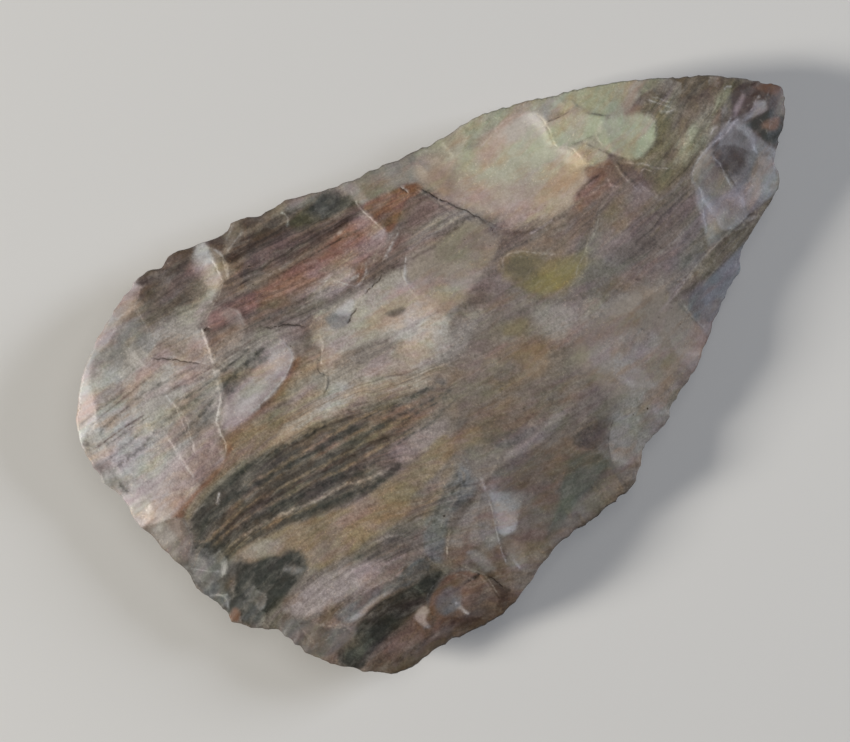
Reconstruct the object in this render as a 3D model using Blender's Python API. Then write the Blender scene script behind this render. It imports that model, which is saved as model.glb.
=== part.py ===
"""Knapped stone preform blade.

A lens-shaped blank carries the outline of the blade. Flakes struck off both faces are cut out of
it one bowl at a time, and a flat remnant of the parent flake on the underside lets the blade lie.
+X runs to the tip, +Z points up from the underside, and the origin is under the middle.
"""
import math

import bmesh
import bpy
from mathutils import Matrix, Vector

# Finished sizes in metres
BLADE_LENGTH = 0.110
BLADE_WIDTH = 0.0686
UPPER_RISE = 0.0076
UNDER_DEPTH = 0.0064

# Form of the blank
FACE_POWER = 3.0
REST_SHARE = 0.45
RING_SHARES = (0.95, 0.87, 0.76, 0.62, 0.45, 0.26)
STEPS_BETWEEN_STATIONS = 3
SMOOTHING_PASSES = 60
DETAIL_REACH = 0.16
EDGE_WAVE = 0.036
EDGE_WAVE_TURNS = ((3, 0.4), (7, 2.1), (11, 4.4))

# Form of the cutters
FLAKE_SIDES = 18
FLAKE_RINGS = (0.32, 0.60, 0.82, 1.0)
CUTTER_HEADROOM = 1.5
STRIKE_OVERRUN = 0.011
WIDTH_TO_LENGTH = 0.624

STONE_COLOUR = (0.262, 0.202, 0.167, 1.0)
STONE_ROUGHNESS = 0.42

# Outline stations from the tip along the upper edge to the base, then back along the lower edge:
# share of the length from the base, share of the half width from the middle line
OUTLINE = (
    (1.000, 0.075), (0.990, 0.124), (0.940, 0.276), (0.875, 0.414), (0.800, 0.548), (0.700, 0.678),
    (0.650, 0.722), (0.605, 0.735), (0.500, 0.803), (0.458, 0.832), (0.400, 0.902), (0.368, 0.912),
    (0.333, 0.953), (0.309, 0.938), (0.246, 0.995), (0.222, 0.976), (0.203, 0.998), (0.163, 0.972),
    (0.080, 0.850), (0.016, 0.652), (0.000, 0.430), (0.008, 0.300), (0.005, 0.170), (0.018, -0.100),
    (0.018, -0.180), (0.029, -0.290), (0.028, -0.370), (0.050, -0.462), (0.070, -0.508),
    (0.074, -0.575), (0.091, -0.705), (0.137, -0.888), (0.173, -0.955), (0.224, -0.960),
    (0.305, -0.998), (0.346, -0.980), (0.420, -0.908), (0.506, -0.902), (0.553, -0.878),
    (0.592, -0.784), (0.628, -0.762), (0.657, -0.702), (0.705, -0.642), (0.798, -0.463),
    (0.822, -0.432), (0.840, -0.362), (0.916, -0.256), (0.931, -0.212), (0.938, -0.145),
    (0.976, -0.045), (0.992, 0.020),
)

# Flake scars: name, strike point along and across, end point along and across, breadth as a share
# of the length, then as shares of the face's rise: hollow, with the roundness of the bowl after
# it, bite at the edge, drop at the end, and lean down to the left of the run
UPPER_FLAKES = (
    ("base_sweep", -0.004, 0.262, 0.197, 0.410, 0.185, 0.088, 1.5, -0.037, 0.064, 0.000),
    ("base_bevel_low", 0.008, 0.770, 0.062, 0.610, 0.110, 0.052, 2.0, -0.015, 0.000, 0.000),
    ("base_bevel_high", 0.134, 0.979, 0.157, 0.867, 0.100, 0.041, 2.0, -0.015, 0.000, 0.000),
    ("base_shoulder", 0.077, 0.908, 0.173, 0.549, 0.130, 0.055, 3.0, -0.015, 0.000, 0.000),
    ("grey_spoon", 0.229, 1.010, 0.214, 0.680, 0.122, 0.083, 1.5, -0.007, 0.037, 0.050),
    ("grey_tail", 0.185, 0.897, 0.201, 0.508, 0.075, 0.055, 1.8, 0.018, 0.037, 0.034),
    ("spoon_side", 0.296, 0.960, 0.296, 0.760, 0.045, 0.041, 2.0, -0.011, 0.000, 0.000),
    ("red_field", 0.380, 0.938, 0.381, 0.450, 0.204, 0.096, 1.5, -0.007, 0.037, 0.068),
    ("red_ridge_top", 0.520, 0.805, 0.524, 0.660, 0.100, 0.041, 2.5, -0.015, 0.000, 0.000),
    ("cream_field", 0.645, 0.745, 0.660, 0.200, 0.178, 0.107, 1.4, -0.055, 0.046, 0.012),
    ("cream_side", 0.751, 0.641, 0.757, 0.262, 0.065, 0.046, 2.2, -0.015, 0.000, 0.000),
    ("pale_oval", 0.812, 0.569, 0.803, 0.169, 0.085, 0.055, 2.2, -0.015, 0.018, 0.000),
    ("tip_upper", 0.897, 0.405, 0.859, 0.077, 0.120, 0.059, 3.0, -0.015, 0.000, 0.000),
    ("tip_nose", 0.985, 0.190, 0.933, 0.077, 0.050, 0.048, 2.0, -0.015, 0.000, 0.000),
    ("tip_under_nose", 0.984, -0.118, 0.952, 0.056, 0.055, 0.055, 2.0, -0.015, 0.000, 0.000),
    ("blue_facet_outer", 0.926, -0.272, 0.902, 0.067, 0.070, 0.070, 1.7, -0.011, 0.018, 0.000),
    ("blue_facet_inner", 0.866, -0.310, 0.853, 0.020, 0.062, 0.070, 1.7, -0.015, 0.018, 0.000),
    ("long_edge_low", 0.755, -0.580, 0.738, -0.333, 0.125, 0.059, 2.0, -0.015, 0.000, 0.000),
    ("long_edge_tip", 0.837, -0.405, 0.827, -0.262, 0.150, 0.059, 2.0, -0.015, 0.000, 0.000),
    ("side_low", 0.677, -0.700, 0.639, -0.374, 0.130, 0.064, 2.4, -0.015, 0.000, 0.000),
    ("blue_flank", 0.590, -0.810, 0.567, -0.580, 0.105, 0.059, 1.8, -0.011, 0.009, 0.000),
    ("broad_low", 0.462, -0.940, 0.463, -0.470, 0.190, 0.092, 1.6, -0.011, 0.018, 0.040),
    ("narrow_low", 0.383, -0.969, 0.377, -0.743, 0.058, 0.048, 2.0, -0.015, 0.000, 0.000),
    ("orange_bowl", 0.281, -1.020, 0.281, -0.735, 0.085, 0.074, 1.8, -0.011, 0.018, 0.000),
    ("olive_bowl", 0.183, -0.985, 0.220, -0.615, 0.155, 0.085, 1.8, -0.011, 0.018, 0.000),
    ("corner_large", 0.086, -0.785, 0.150, -0.640, 0.075, 0.059, 2.0, -0.015, 0.000, 0.000),
    ("corner_small", 0.064, -0.559, 0.112, -0.580, 0.060, 0.052, 2.0, -0.015, 0.000, 0.000),
    ("base_low", 0.032, -0.446, 0.128, -0.436, 0.100, 0.048, 3.0, -0.015, 0.000, 0.000),
    ("base_grey", 0.013, -0.251, 0.140, -0.272, 0.090, 0.048, 3.0, -0.015, 0.000, 0.000),
    ("base_middle", 0.000, 0.056, 0.058, 0.067, 0.065, 0.048, 2.0, -0.015, 0.000, 0.000),
    ("base_nick", 0.006, -0.108, 0.070, -0.108, 0.055, 0.048, 2.0, -0.015, 0.000, 0.000),
    ("banded_field", 0.045, -0.067, 0.422, -0.149, 0.190, 0.064, 6.0, 0.028, 0.000, 0.000),
    ("ochre_field", 0.140, 0.225, 0.335, 0.300, 0.085, 0.041, 2.6, 0.028, 0.026, 0.000),
    ("centre_cream", 0.330, 0.225, 0.482, 0.275, 0.125, 0.041, 2.6, 0.013, 0.029, 0.000),
    ("right_field", 0.856, -0.190, 0.652, 0.015, 0.150, 0.048, 3.0, 0.018, 0.000, 0.000),
    ("centre_low", 0.383, -0.354, 0.600, -0.333, 0.110, 0.037, 4.0, 0.013, 0.000, 0.000),
    ("mauve_low", 0.166, -0.436, 0.358, -0.477, 0.080, 0.037, 3.0, 0.013, 0.000, 0.000),
)

UNDER_FLAKES = (
    ("under_shoulder", 0.095, 0.930, 0.225, 0.470, 0.180, 0.105, 2.2, -0.018, 0.022, 0.000),
    ("under_upper_1", 0.262, 1.000, 0.300, 0.430, 0.150, 0.120, 1.8, -0.013, 0.033, 0.025),
    ("under_upper_2", 0.405, 0.930, 0.395, 0.500, 0.135, 0.098, 2.2, -0.018, 0.000, 0.000),
    ("under_upper_3", 0.548, 0.810, 0.540, 0.320, 0.175, 0.120, 1.8, -0.013, 0.033, -0.025),
    ("under_upper_4", 0.700, 0.710, 0.665, 0.330, 0.140, 0.098, 2.2, -0.018, 0.000, 0.000),
    ("under_upper_5", 0.815, 0.540, 0.765, 0.160, 0.135, 0.098, 2.0, -0.018, 0.022, 0.000),
    ("under_tip_upper", 0.915, 0.340, 0.865, 0.060, 0.110, 0.088, 2.2, -0.018, 0.000, 0.000),
    ("under_tip_lower", 0.930, -0.220, 0.880, -0.010, 0.090, 0.088, 2.2, -0.018, 0.000, 0.000),
    ("under_lower_5", 0.845, -0.400, 0.790, -0.120, 0.120, 0.088, 2.2, -0.018, 0.000, 0.000),
    ("under_lower_4", 0.735, -0.620, 0.680, -0.230, 0.165, 0.120, 1.8, -0.013, 0.033, 0.025),
    ("under_lower_3", 0.600, -0.800, 0.590, -0.400, 0.130, 0.098, 2.2, -0.018, 0.000, 0.000),
    ("under_lower_2", 0.470, -0.925, 0.465, -0.430, 0.180, 0.120, 1.8, -0.013, 0.033, -0.025),
    ("under_lower_1", 0.330, -1.000, 0.335, -0.530, 0.130, 0.098, 2.2, -0.018, 0.000, 0.000),
    ("under_heel", 0.190, -0.975, 0.245, -0.460, 0.165, 0.114, 2.0, -0.013, 0.022, 0.000),
    ("under_base_low", 0.050, -0.510, 0.215, -0.330, 0.150, 0.098, 2.4, -0.018, 0.000, 0.000),
    ("under_base_middle", 0.005, -0.080, 0.220, -0.040, 0.150, 0.105, 2.2, -0.018, 0.022, 0.000),
    ("under_base_high", -0.005, 0.400, 0.200, 0.230, 0.150, 0.098, 2.4, -0.044, 0.000, 0.000),
)


def clear_scene():
    """Empty the scene of objects."""
    for item in list(bpy.data.objects):
        bpy.data.objects.remove(item, do_unlink=True)


def new_collection(name):
    """Make a collection under the scene's own."""
    group = bpy.data.collections.new(name)
    bpy.context.scene.collection.children.link(group)
    return group


def on_plan(along, across):
    """Turn shares of the length and the half width into a point on the plan."""
    return Vector(((along - 0.5) * BLADE_LENGTH, across * BLADE_WIDTH / 2.0))


def spline_point(before, start, finish, after, t):
    """Point at t between start and finish on a smooth curve through the four stations."""
    bend = 2.0 * before - 5.0 * start + 4.0 * finish - after
    twist = 3.0 * start - before - 3.0 * finish + after
    return start + 0.5 * t * ((finish - before) + t * (bend + t * twist))


def edge_loop():
    """Closed outline of the blade through its stations."""
    stations = [on_plan(along, across) for along, across in OUTLINE]
    count = len(stations)
    loop = []
    for i in range(count):
        around = [stations[(i + k) % count] for k in (-1, 0, 1, 2)]
        for step in range(STEPS_BETWEEN_STATIONS):
            loop.append(spline_point(*around, step / STEPS_BETWEEN_STATIONS))
    return loop


def smoothed(loop):
    """The same outline with its nicks rounded away."""
    for _ in range(SMOOTHING_PASSES):
        count = len(loop)
        loop = [(loop[i - 1] + 2.0 * loop[i] + loop[(i + 1) % count]) / 4.0 for i in range(count)]
    return loop


def edge_distance(loop, direction):
    """Distance from the middle to the outline in a direction on the plan."""
    best = 0.0
    for i, start in enumerate(loop):
        side = loop[(i + 1) % len(loop)] - start
        cross = direction.x * side.y - direction.y * side.x
        if abs(cross) < 1e-12:
            continue
        reach = (start.x * side.y - start.y * side.x) / cross
        share = (start.x * direction.y - start.y * direction.x) / cross
        if reach > 0.0 and -1e-9 <= share <= 1.0 + 1e-9:
            best = max(best, reach)
    return best


def edge_lift(point, share):
    """Rise and fall of the cutting edge around the blade, fading out towards the middle."""
    angle = math.atan2(point.y, point.x)
    wave = sum(math.sin(turns * angle + start) for turns, start in EDGE_WAVE_TURNS)
    fade = max(0.0, (share - REST_SHARE) / (1.0 - REST_SHARE))
    return EDGE_WAVE * (UPPER_RISE + UNDER_DEPTH) * wave * fade ** 2


def face_rise(upward):
    """Height of the full crown over the edge; the underside is cut off flat below its crown."""
    return UPPER_RISE if upward else UNDER_DEPTH / (1.0 - REST_SHARE ** FACE_POWER)


def face_height(point, share, upward):
    """Height of an uncut face out from the level of the edge, at a share of the outline."""
    lift = edge_lift(point, share)
    return face_rise(upward) * (1.0 - share ** FACE_POWER) + (lift if upward else -lift)


def crown_height(loop, point, upward):
    """Height of an uncut face over a point on the plan; past the outline it stays at the edge."""
    share = point.length / edge_distance(loop, point.normalized())
    return face_height(point, min(share, 1.0), upward)


def make_blank(group, material, loop, calm_loop):
    """Lens-shaped blank: rings of the outline drawn in over a crowned face above and below."""
    bm = bmesh.new()

    def ring(share, upward):
        detail = max(0.0, 1.0 - (1.0 - share) / DETAIL_REACH)
        verts = []
        for rough, calm in zip(loop, calm_loop):
            spot = (calm + (rough - calm) * detail) * share
            height = face_height(spot, share, upward)
            verts.append(bm.verts.new((spot.x, spot.y, UNDER_DEPTH + (height if upward else -height))))
        return verts

    def strip(outer, inner, upward):
        count = len(outer)
        for i in range(count):
            k = (i + 1) % count
            corners = [outer[i], outer[k], inner[k], inner[i]]
            bm.faces.new(corners if upward else corners[::-1])

    rim = ring(1.0, True)
    outer = rim
    for share in RING_SHARES:
        inner = ring(share, True)
        strip(outer, inner, True)
        outer = inner
    peak = bm.verts.new((0.0, 0.0, UNDER_DEPTH + UPPER_RISE))
    for i, vert in enumerate(outer):
        bm.faces.new((vert, outer[(i + 1) % len(outer)], peak))
    outer = rim
    for share in [share for share in RING_SHARES if share > REST_SHARE] + [REST_SHARE]:
        inner = ring(share, False)
        strip(outer, inner, False)
        outer = inner
    bm.faces.new(outer[::-1])
    bmesh.ops.recalc_face_normals(bm, faces=bm.faces)
    mesh = bpy.data.meshes.new("preform_blade")
    bm.to_mesh(mesh)
    bm.free()
    mesh.materials.append(material)
    blade = bpy.data.objects.new("preform_blade", mesh)
    group.objects.link(blade)
    return blade


def flake_bowl(headroom):
    """Lower half of a ball of radius one, centred on its open rim, with a straight collar above."""
    bm = bmesh.new()
    profile = [bm.verts.new((0.0, 0.0, -1.0))]
    for share in FLAKE_RINGS:
        profile.append(bm.verts.new((share, 0.0, -math.sqrt(1.0 - share * share))))
    profile.append(bm.verts.new((1.0, 0.0, headroom)))
    profile.append(bm.verts.new((0.0, 0.0, headroom)))
    edges = [bm.edges.new(pair) for pair in zip(profile, profile[1:])]
    bmesh.ops.spin(bm, geom=profile + edges, cent=(0.0, 0.0, 0.0), axis=(0.0, 0.0, 1.0),
                   angle=2.0 * math.pi, steps=FLAKE_SIDES, use_merge=True)
    bmesh.ops.remove_doubles(bm, verts=bm.verts, dist=1e-6)
    bmesh.ops.recalc_face_normals(bm, faces=bm.faces)
    return bm


def add_flake(group, calm_loop, row, upward):
    """Cutter for one flake scar: a bowl stretched along the chord from the strike to the end."""
    name, strike_along, strike_across, end_along, end_across = row[:5]
    breadth, hollow, roundness, bite, drop, lean = row[5:]
    rise = UPPER_RISE if upward else UNDER_DEPTH
    half_width = WIDTH_TO_LENGTH / 2.0
    run = Vector((end_along - strike_along, (end_across - strike_across) * half_width))
    forward = run.normalized()
    overrun = forward * STRIKE_OVERRUN
    side = Vector((-forward.y, forward.x)) * breadth / 2.0
    strike = on_plan(strike_along, strike_across)
    finish = on_plan(end_along, end_across)
    start = on_plan(strike_along - overrun.x, strike_across - overrun.y / half_width)
    left = on_plan(0.5 + side.x, side.y / half_width)
    middle = (start + finish) / 2.0
    strike_height = crown_height(calm_loop, strike, upward) - bite * rise
    finish_height = crown_height(calm_loop, finish, upward) - drop * rise
    left_height = crown_height(calm_loop, middle + left, upward)
    right_height = crown_height(calm_loop, middle - left, upward)
    tilt = (left_height - right_height) / 2.0 - lean * rise
    depth = hollow * roundness * rise
    centre_lift = depth - hollow * rise
    rim_share = math.sqrt(1.0 - (centre_lift / depth) ** 2)
    half_run = (finish - start) / 2.0
    along = Vector((half_run.x, half_run.y, (finish_height - strike_height) / 2.0)) / rim_share
    across = Vector((left.x, left.y, tilt)) / rim_share
    up = Vector((0.0, 0.0, depth))
    centre = Vector((middle.x, middle.y, (strike_height + finish_height) / 2.0 + centre_lift))
    bm = flake_bowl(CUTTER_HEADROOM * rise / depth)
    bm.transform(Matrix.Translation(centre) @ Matrix((along, across, up)).transposed().to_4x4())
    if not upward:
        bm.transform(Matrix.Scale(-1.0, 4, Vector((0.0, 0.0, 1.0))))
        bmesh.ops.reverse_faces(bm, faces=bm.faces)
    bm.transform(Matrix.Translation(Vector((0.0, 0.0, UNDER_DEPTH))))
    mesh = bpy.data.meshes.new("cut_" + name)
    bm.to_mesh(mesh)
    bm.free()
    cutter = bpy.data.objects.new("cut_" + name, mesh)
    cutter.display_type = "WIRE"
    cutter.hide_render = True
    group.objects.link(cutter)


def stone_material():
    """Waxy grey-brown chert."""
    material = bpy.data.materials.new("chert")
    material.use_nodes = True
    shader = material.node_tree.nodes["Principled BSDF"]
    shader.inputs["Base Color"].default_value = STONE_COLOUR
    shader.inputs["Roughness"].default_value = STONE_ROUGHNESS
    shader.inputs["Metallic"].default_value = 0.0
    return material


def main():
    """Build the blank, the cutters and the cuts."""
    clear_scene()
    blade_group = new_collection("preform_blade")
    loop = edge_loop()
    calm_loop = smoothed(loop)
    blade = make_blank(blade_group, stone_material(), loop, calm_loop)
    for name, rows, upward in (("upper_flakes", UPPER_FLAKES, True), ("under_flakes", UNDER_FLAKES, False)):
        cutter_group = new_collection(name)
        for row in rows:
            add_flake(cutter_group, calm_loop, row, upward)
        cut = blade.modifiers.new(name, "BOOLEAN")
        cut.operation = "DIFFERENCE"
        cut.solver = "EXACT"
        cut.operand_type = "COLLECTION"
        cut.collection = cutter_group


main()
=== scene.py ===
"""Looks of a knapped chert preform blade.

The blade is one piece of banded chert. Its surface is worked out again from the outline and the
flake scars of the solid, on a net fine enough for ripples, hinge walls and edge retouch, and the
coloured beds and patches of the stone are painted on it as attributes that the material reads,
with painted highlights and shade where facets, ridges and walls face towards or away from the lamps.
+X runs to the tip, +Z up from the side it lies on, and the origin is under the middle.
"""
import math
import random

import bmesh
import bpy
import numpy as np
from bpy.props import FloatProperty, FloatVectorProperty, PointerProperty
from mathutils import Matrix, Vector
from mathutils.geometry import delaunay_2d_cdt


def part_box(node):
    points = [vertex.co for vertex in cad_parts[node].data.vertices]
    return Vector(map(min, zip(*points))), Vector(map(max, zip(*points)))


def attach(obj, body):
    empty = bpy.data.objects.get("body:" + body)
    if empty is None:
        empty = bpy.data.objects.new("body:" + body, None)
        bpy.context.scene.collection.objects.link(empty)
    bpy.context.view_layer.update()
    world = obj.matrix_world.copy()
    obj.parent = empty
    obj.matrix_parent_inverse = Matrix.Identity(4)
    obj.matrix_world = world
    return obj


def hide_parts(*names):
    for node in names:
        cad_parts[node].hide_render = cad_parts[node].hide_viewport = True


bl_info = {
    "name": "Knapped Preform Blade",
    "version": (1, 0, 0),
    "blender": (4, 5, 0),
    "location": "View3D > Sidebar > Preform Blade",
    "description": "Surface and stone of a knapped chert preform blade",
    "category": "Add Mesh",
}

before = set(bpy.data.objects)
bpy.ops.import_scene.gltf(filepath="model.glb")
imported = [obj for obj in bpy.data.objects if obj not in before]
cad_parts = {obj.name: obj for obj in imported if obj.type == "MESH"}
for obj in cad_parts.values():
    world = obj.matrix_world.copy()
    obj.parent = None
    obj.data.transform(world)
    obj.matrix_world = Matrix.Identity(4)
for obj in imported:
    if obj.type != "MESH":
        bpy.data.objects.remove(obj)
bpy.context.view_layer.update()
BLADE_LOW, BLADE_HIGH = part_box("preform_blade")

MM = 0.001
HALF_WIDTH_SHARE = 0.3119
EDGE_LEVEL_SHARE = 0.4571
BLADE_LENGTH = BLADE_HIGH.x - BLADE_LOW.x
HALF_WIDTH = HALF_WIDTH_SHARE * BLADE_LENGTH
EDGE_LEVEL = BLADE_LOW.z + EDGE_LEVEL_SHARE * (BLADE_HIGH.z - BLADE_LOW.z)
UPPER_RISE = BLADE_HIGH.z - EDGE_LEVEL
UNDER_DEPTH = EDGE_LEVEL - BLADE_LOW.z

# Form of the blank, as in the solid
FACE_POWER = 3.0
REST_SHARE = 0.45
DETAIL_REACH = 0.16
EDGE_WAVE = 0.036
EDGE_WAVE_TURNS = ((3, 0.4), (7, 2.1), (11, 4.4))
STRIKE_OVERRUN = 0.011
CALM_STEPS = 3
CALM_PASSES = 60
REACH_PASSES = 3

# Cutting edge of the scene's mesh: points from one outline station to the next, length of the jags,
# room left to the solid's box, and how steeply the faces leave the edge over its outer band
RIM_STEPS = 17
JAG_LENGTH = 0.9 * MM
BOX_MARGIN = 0.01 * MM
EDGE_SLOPE = 0.30
EDGE_BAND = 3.0 * MM

# Wavering of the ridges: length of its broad and its fine part, and share of the fine part
BROAD_WAVER = 12.0 * MM
FINE_WAVER = 2.6 * MM
FINE_SHARE = 0.10

# Ripples: spacing at the strike, how it grows with the way run, how it differs from scar to scar
# (least factor, step and number of steps), and how they set in along the run
RIPPLE_PITCH = 1.6 * MM
RIPPLE_GROWTH = 0.12
RIPPLE_LEAST, RIPPLE_STEP, RIPPLE_STEPS = 0.9, 0.05, 5
RIPPLE_ONSET, RIPPLE_DELAY = 1.6, 0.3

# Unevenness of the finished faces: length and height of their last swells
FACE_SWELLS = ((7.0 * MM, 0.022 * MM), (1.9 * MM, 0.003 * MM))

# Retouch along the edge: its spacings as shares of the widest, finer near the tip, which starts at a
# share of the length from the middle, and the spread of its nicks and breadths
RETOUCH_PITCHES = (0.6, 0.8, 1.0, 1.4)
TIP_PITCH = 0.6
TIP_START = 0.2
NICK_SPREAD, NICK_POWER = (0.3, 1.0), 1.6
BREADTH_SPREAD = (0.9, 1.15)

# Its small flakes: turn to either side in radians, spreads of length and half breadth as shares of
# the breadth and of the hollow as a share of the full one, the length of a flake with the full
# hollow, how far a bowl starts outside the edge, and how far round its middle it may cut
FLAKE_TURN = 0.35
FLAKE_LENGTHS = (0.6, 1.5)
FLAKE_SIDES = (0.5, 0.65)
FLAKE_HOLLOWS = (0.5, 1.2)
FULL_FLAKE = 3.0 * MM
FLAKE_OVERRUN = 0.25
FLAKE_REACH = 1.3

# Drawn walls, cracks and threads: steps from one point of the table to the next, then spacing of the
# points along the line, how far it strays, and over what length; coloured lines with a half width
# below THREAD_LIMIT, in hundredths of a millimetre, are threads that the net follows
COURSE_STEPS = 8
CREST_COURSE = (0.45 * MM, 0.05 * MM, 1.4 * MM)
CRACK_COURSE = (0.35 * MM, 0.10 * MM, 1.1 * MM)
THREAD_PITCH = 0.4 * MM
THREAD_LIMIT = 20
THREAD_FLANK = 1.1

# Hinge walls: reach of their swelling and its growth with their height; the painted highlight along
# a wall, in patches (level, swing, most, length of a patch), the most of it and the height of a wall
# that has it, and its place and spread in quarters of the wall's width; then the cracks
WALL_REACH = 2.0 * MM
WALL_GROWTH = 4.0
HIGHLIGHT_PATCH_LEVEL, HIGHLIGHT_PATCH_SWING, HIGHLIGHT_PATCH_MOST = 0.75, 0.35, 1.3
HIGHLIGHT_PATCH_LENGTH = 2.2 * MM
WALL_HIGHLIGHT_LIMIT = 0.5
WALL_HIGHLIGHT_HEIGHT = 0.30 * MM
WALL_HIGHLIGHT_PLACE, WALL_HIGHLIGHT_SPREAD = 0.6, 1.3
CRACK_WIDTH = 0.10 * MM
CRACK_DEPTH = 0.10 * MM

# Shares of their length over which walls, cracks and coloured lines fade out at their ends
CREST_TAPER, CRACK_TAPER, LINE_TAPER = 0.18, 0.2, 0.12

# Net, in shares of its step: height of a row of its lattice, the cell in which spots count as one,
# the room that lattice points leave round a spot, and the room inside the edge beyond RIM_BAND
ROW_PITCH = 0.866
SPARE_ROWS = 4
MERGE_SHARE = 0.40
CLEAR_SHARE = 0.52
RIM_SHARE = 0.45
RIM_BAND = 0.24 * MM

# Spots beside the lines: across a hinge wall in quarters of its width, and across a crack or thread
# in its flank
WALL_FLANKS = (-4.0, -1.6, 1.6, 4.0)
CRACK_FLANK = 0.14 * MM
THIN_FLANKS = (-1.0, 0.0, 1.0)

# How far the triangulation may be off in millimetres and its points in metres, and the angle between
# two faces from which their edge is sharp
NET_TOLERANCE = 1e-7
POINT_TOLERANCE = 1e-8
SHARP_TURN = math.radians(32.0)

# Seeds of what is left to chance
EDGE_SEED = 11
UPPER_SEED, UNDER_SEED = 100, 200
UPPER_RETOUCH_SEED, UNDER_RETOUCH_SEED = 31, 32
CREST_SEEDS, CRACK_SEEDS = (300, 500), (700, 800)
ZONE_SEED, UNDER_ZONE_SEED, LINE_SEED = 1000, 3000, 5000
ZONE_DRAWS, LINE_DRAWS = 7, 3
JAG_DRAW, HIGHLIGHT_PATCH_DRAW, SWELL_DRAW, TINT_DRAW = 5, 41, 90, 9

# A swell is a sum of waves of these lengths, as shares of its own
SWELL_WAVES = 9
SWELL_SPREAD = (0.65, 1.5)

# Steps from one point to the next round a zone and along a bed. Then zones, in thousandths of the
# length: their margin, how ragged they are at least and for their softness, the lengths of the waves
# in their edges (broad and fine along the beds, broad and fine across, and the fringe), the least
# width of a soft edge, and a factor by which a fading zone is full early
ZONE_STEPS, BED_STEPS = 4, 12
ZONE_MARGIN = 2.0
RAGGED_LEAST, RAGGED_SHARE = 0.5, 0.16
ZONE_WAVES = (60.0, 11.0, 50.0, 9.0, 4.5)
SOFT_LEAST = 0.5
FADE_SHARE = 1.25

# Coloured lines: lengths of the waves in their course, their thickness and their gaps, how much they
# change there, and the level and limits of the gaps
LINE_STEPS = 6
LINE_WAVES = (14.0, 22.0, 9.0)
LINE_SWING = 0.35
GAP_LEVEL, GAP_LIMITS = 0.85, (0.2, 1.1)

# Tones of the fresh flakes at the edge, and how strong they may be
RETOUCH_TONES = ("frost", "frost", "bone", "ash", "ochre", "slate")
RETOUCH_TINT = 0.16

# Units of the tables: thousandths of the blade's length
PER_LENGTH = 1000.0
THOUSANDTH = 0.001

# Outline stations from the tip along the upper edge to the base, then back along the lower edge:
# share of the length from the base, share of the half width from the middle line
OUTLINE = (
    (1.000, 0.075), (0.990, 0.124), (0.940, 0.276), (0.875, 0.414), (0.800, 0.548), (0.700, 0.678),
    (0.650, 0.722), (0.605, 0.735), (0.500, 0.803), (0.458, 0.832), (0.400, 0.902), (0.368, 0.912),
    (0.333, 0.953), (0.309, 0.938), (0.246, 0.995), (0.222, 0.976), (0.203, 0.998), (0.163, 0.972),
    (0.080, 0.850), (0.016, 0.652), (0.000, 0.430), (0.008, 0.300), (0.005, 0.170), (0.018, -0.100),
    (0.018, -0.180), (0.029, -0.290), (0.028, -0.370), (0.050, -0.462), (0.070, -0.508),
    (0.074, -0.575), (0.091, -0.705), (0.137, -0.888), (0.173, -0.955), (0.224, -0.960),
    (0.305, -0.998), (0.346, -0.980), (0.420, -0.908), (0.506, -0.902), (0.553, -0.878),
    (0.592, -0.784), (0.628, -0.762), (0.657, -0.702), (0.705, -0.642), (0.798, -0.463),
    (0.822, -0.432), (0.840, -0.362), (0.916, -0.256), (0.931, -0.212), (0.938, -0.145),
    (0.976, -0.045), (0.992, 0.020),
)

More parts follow.
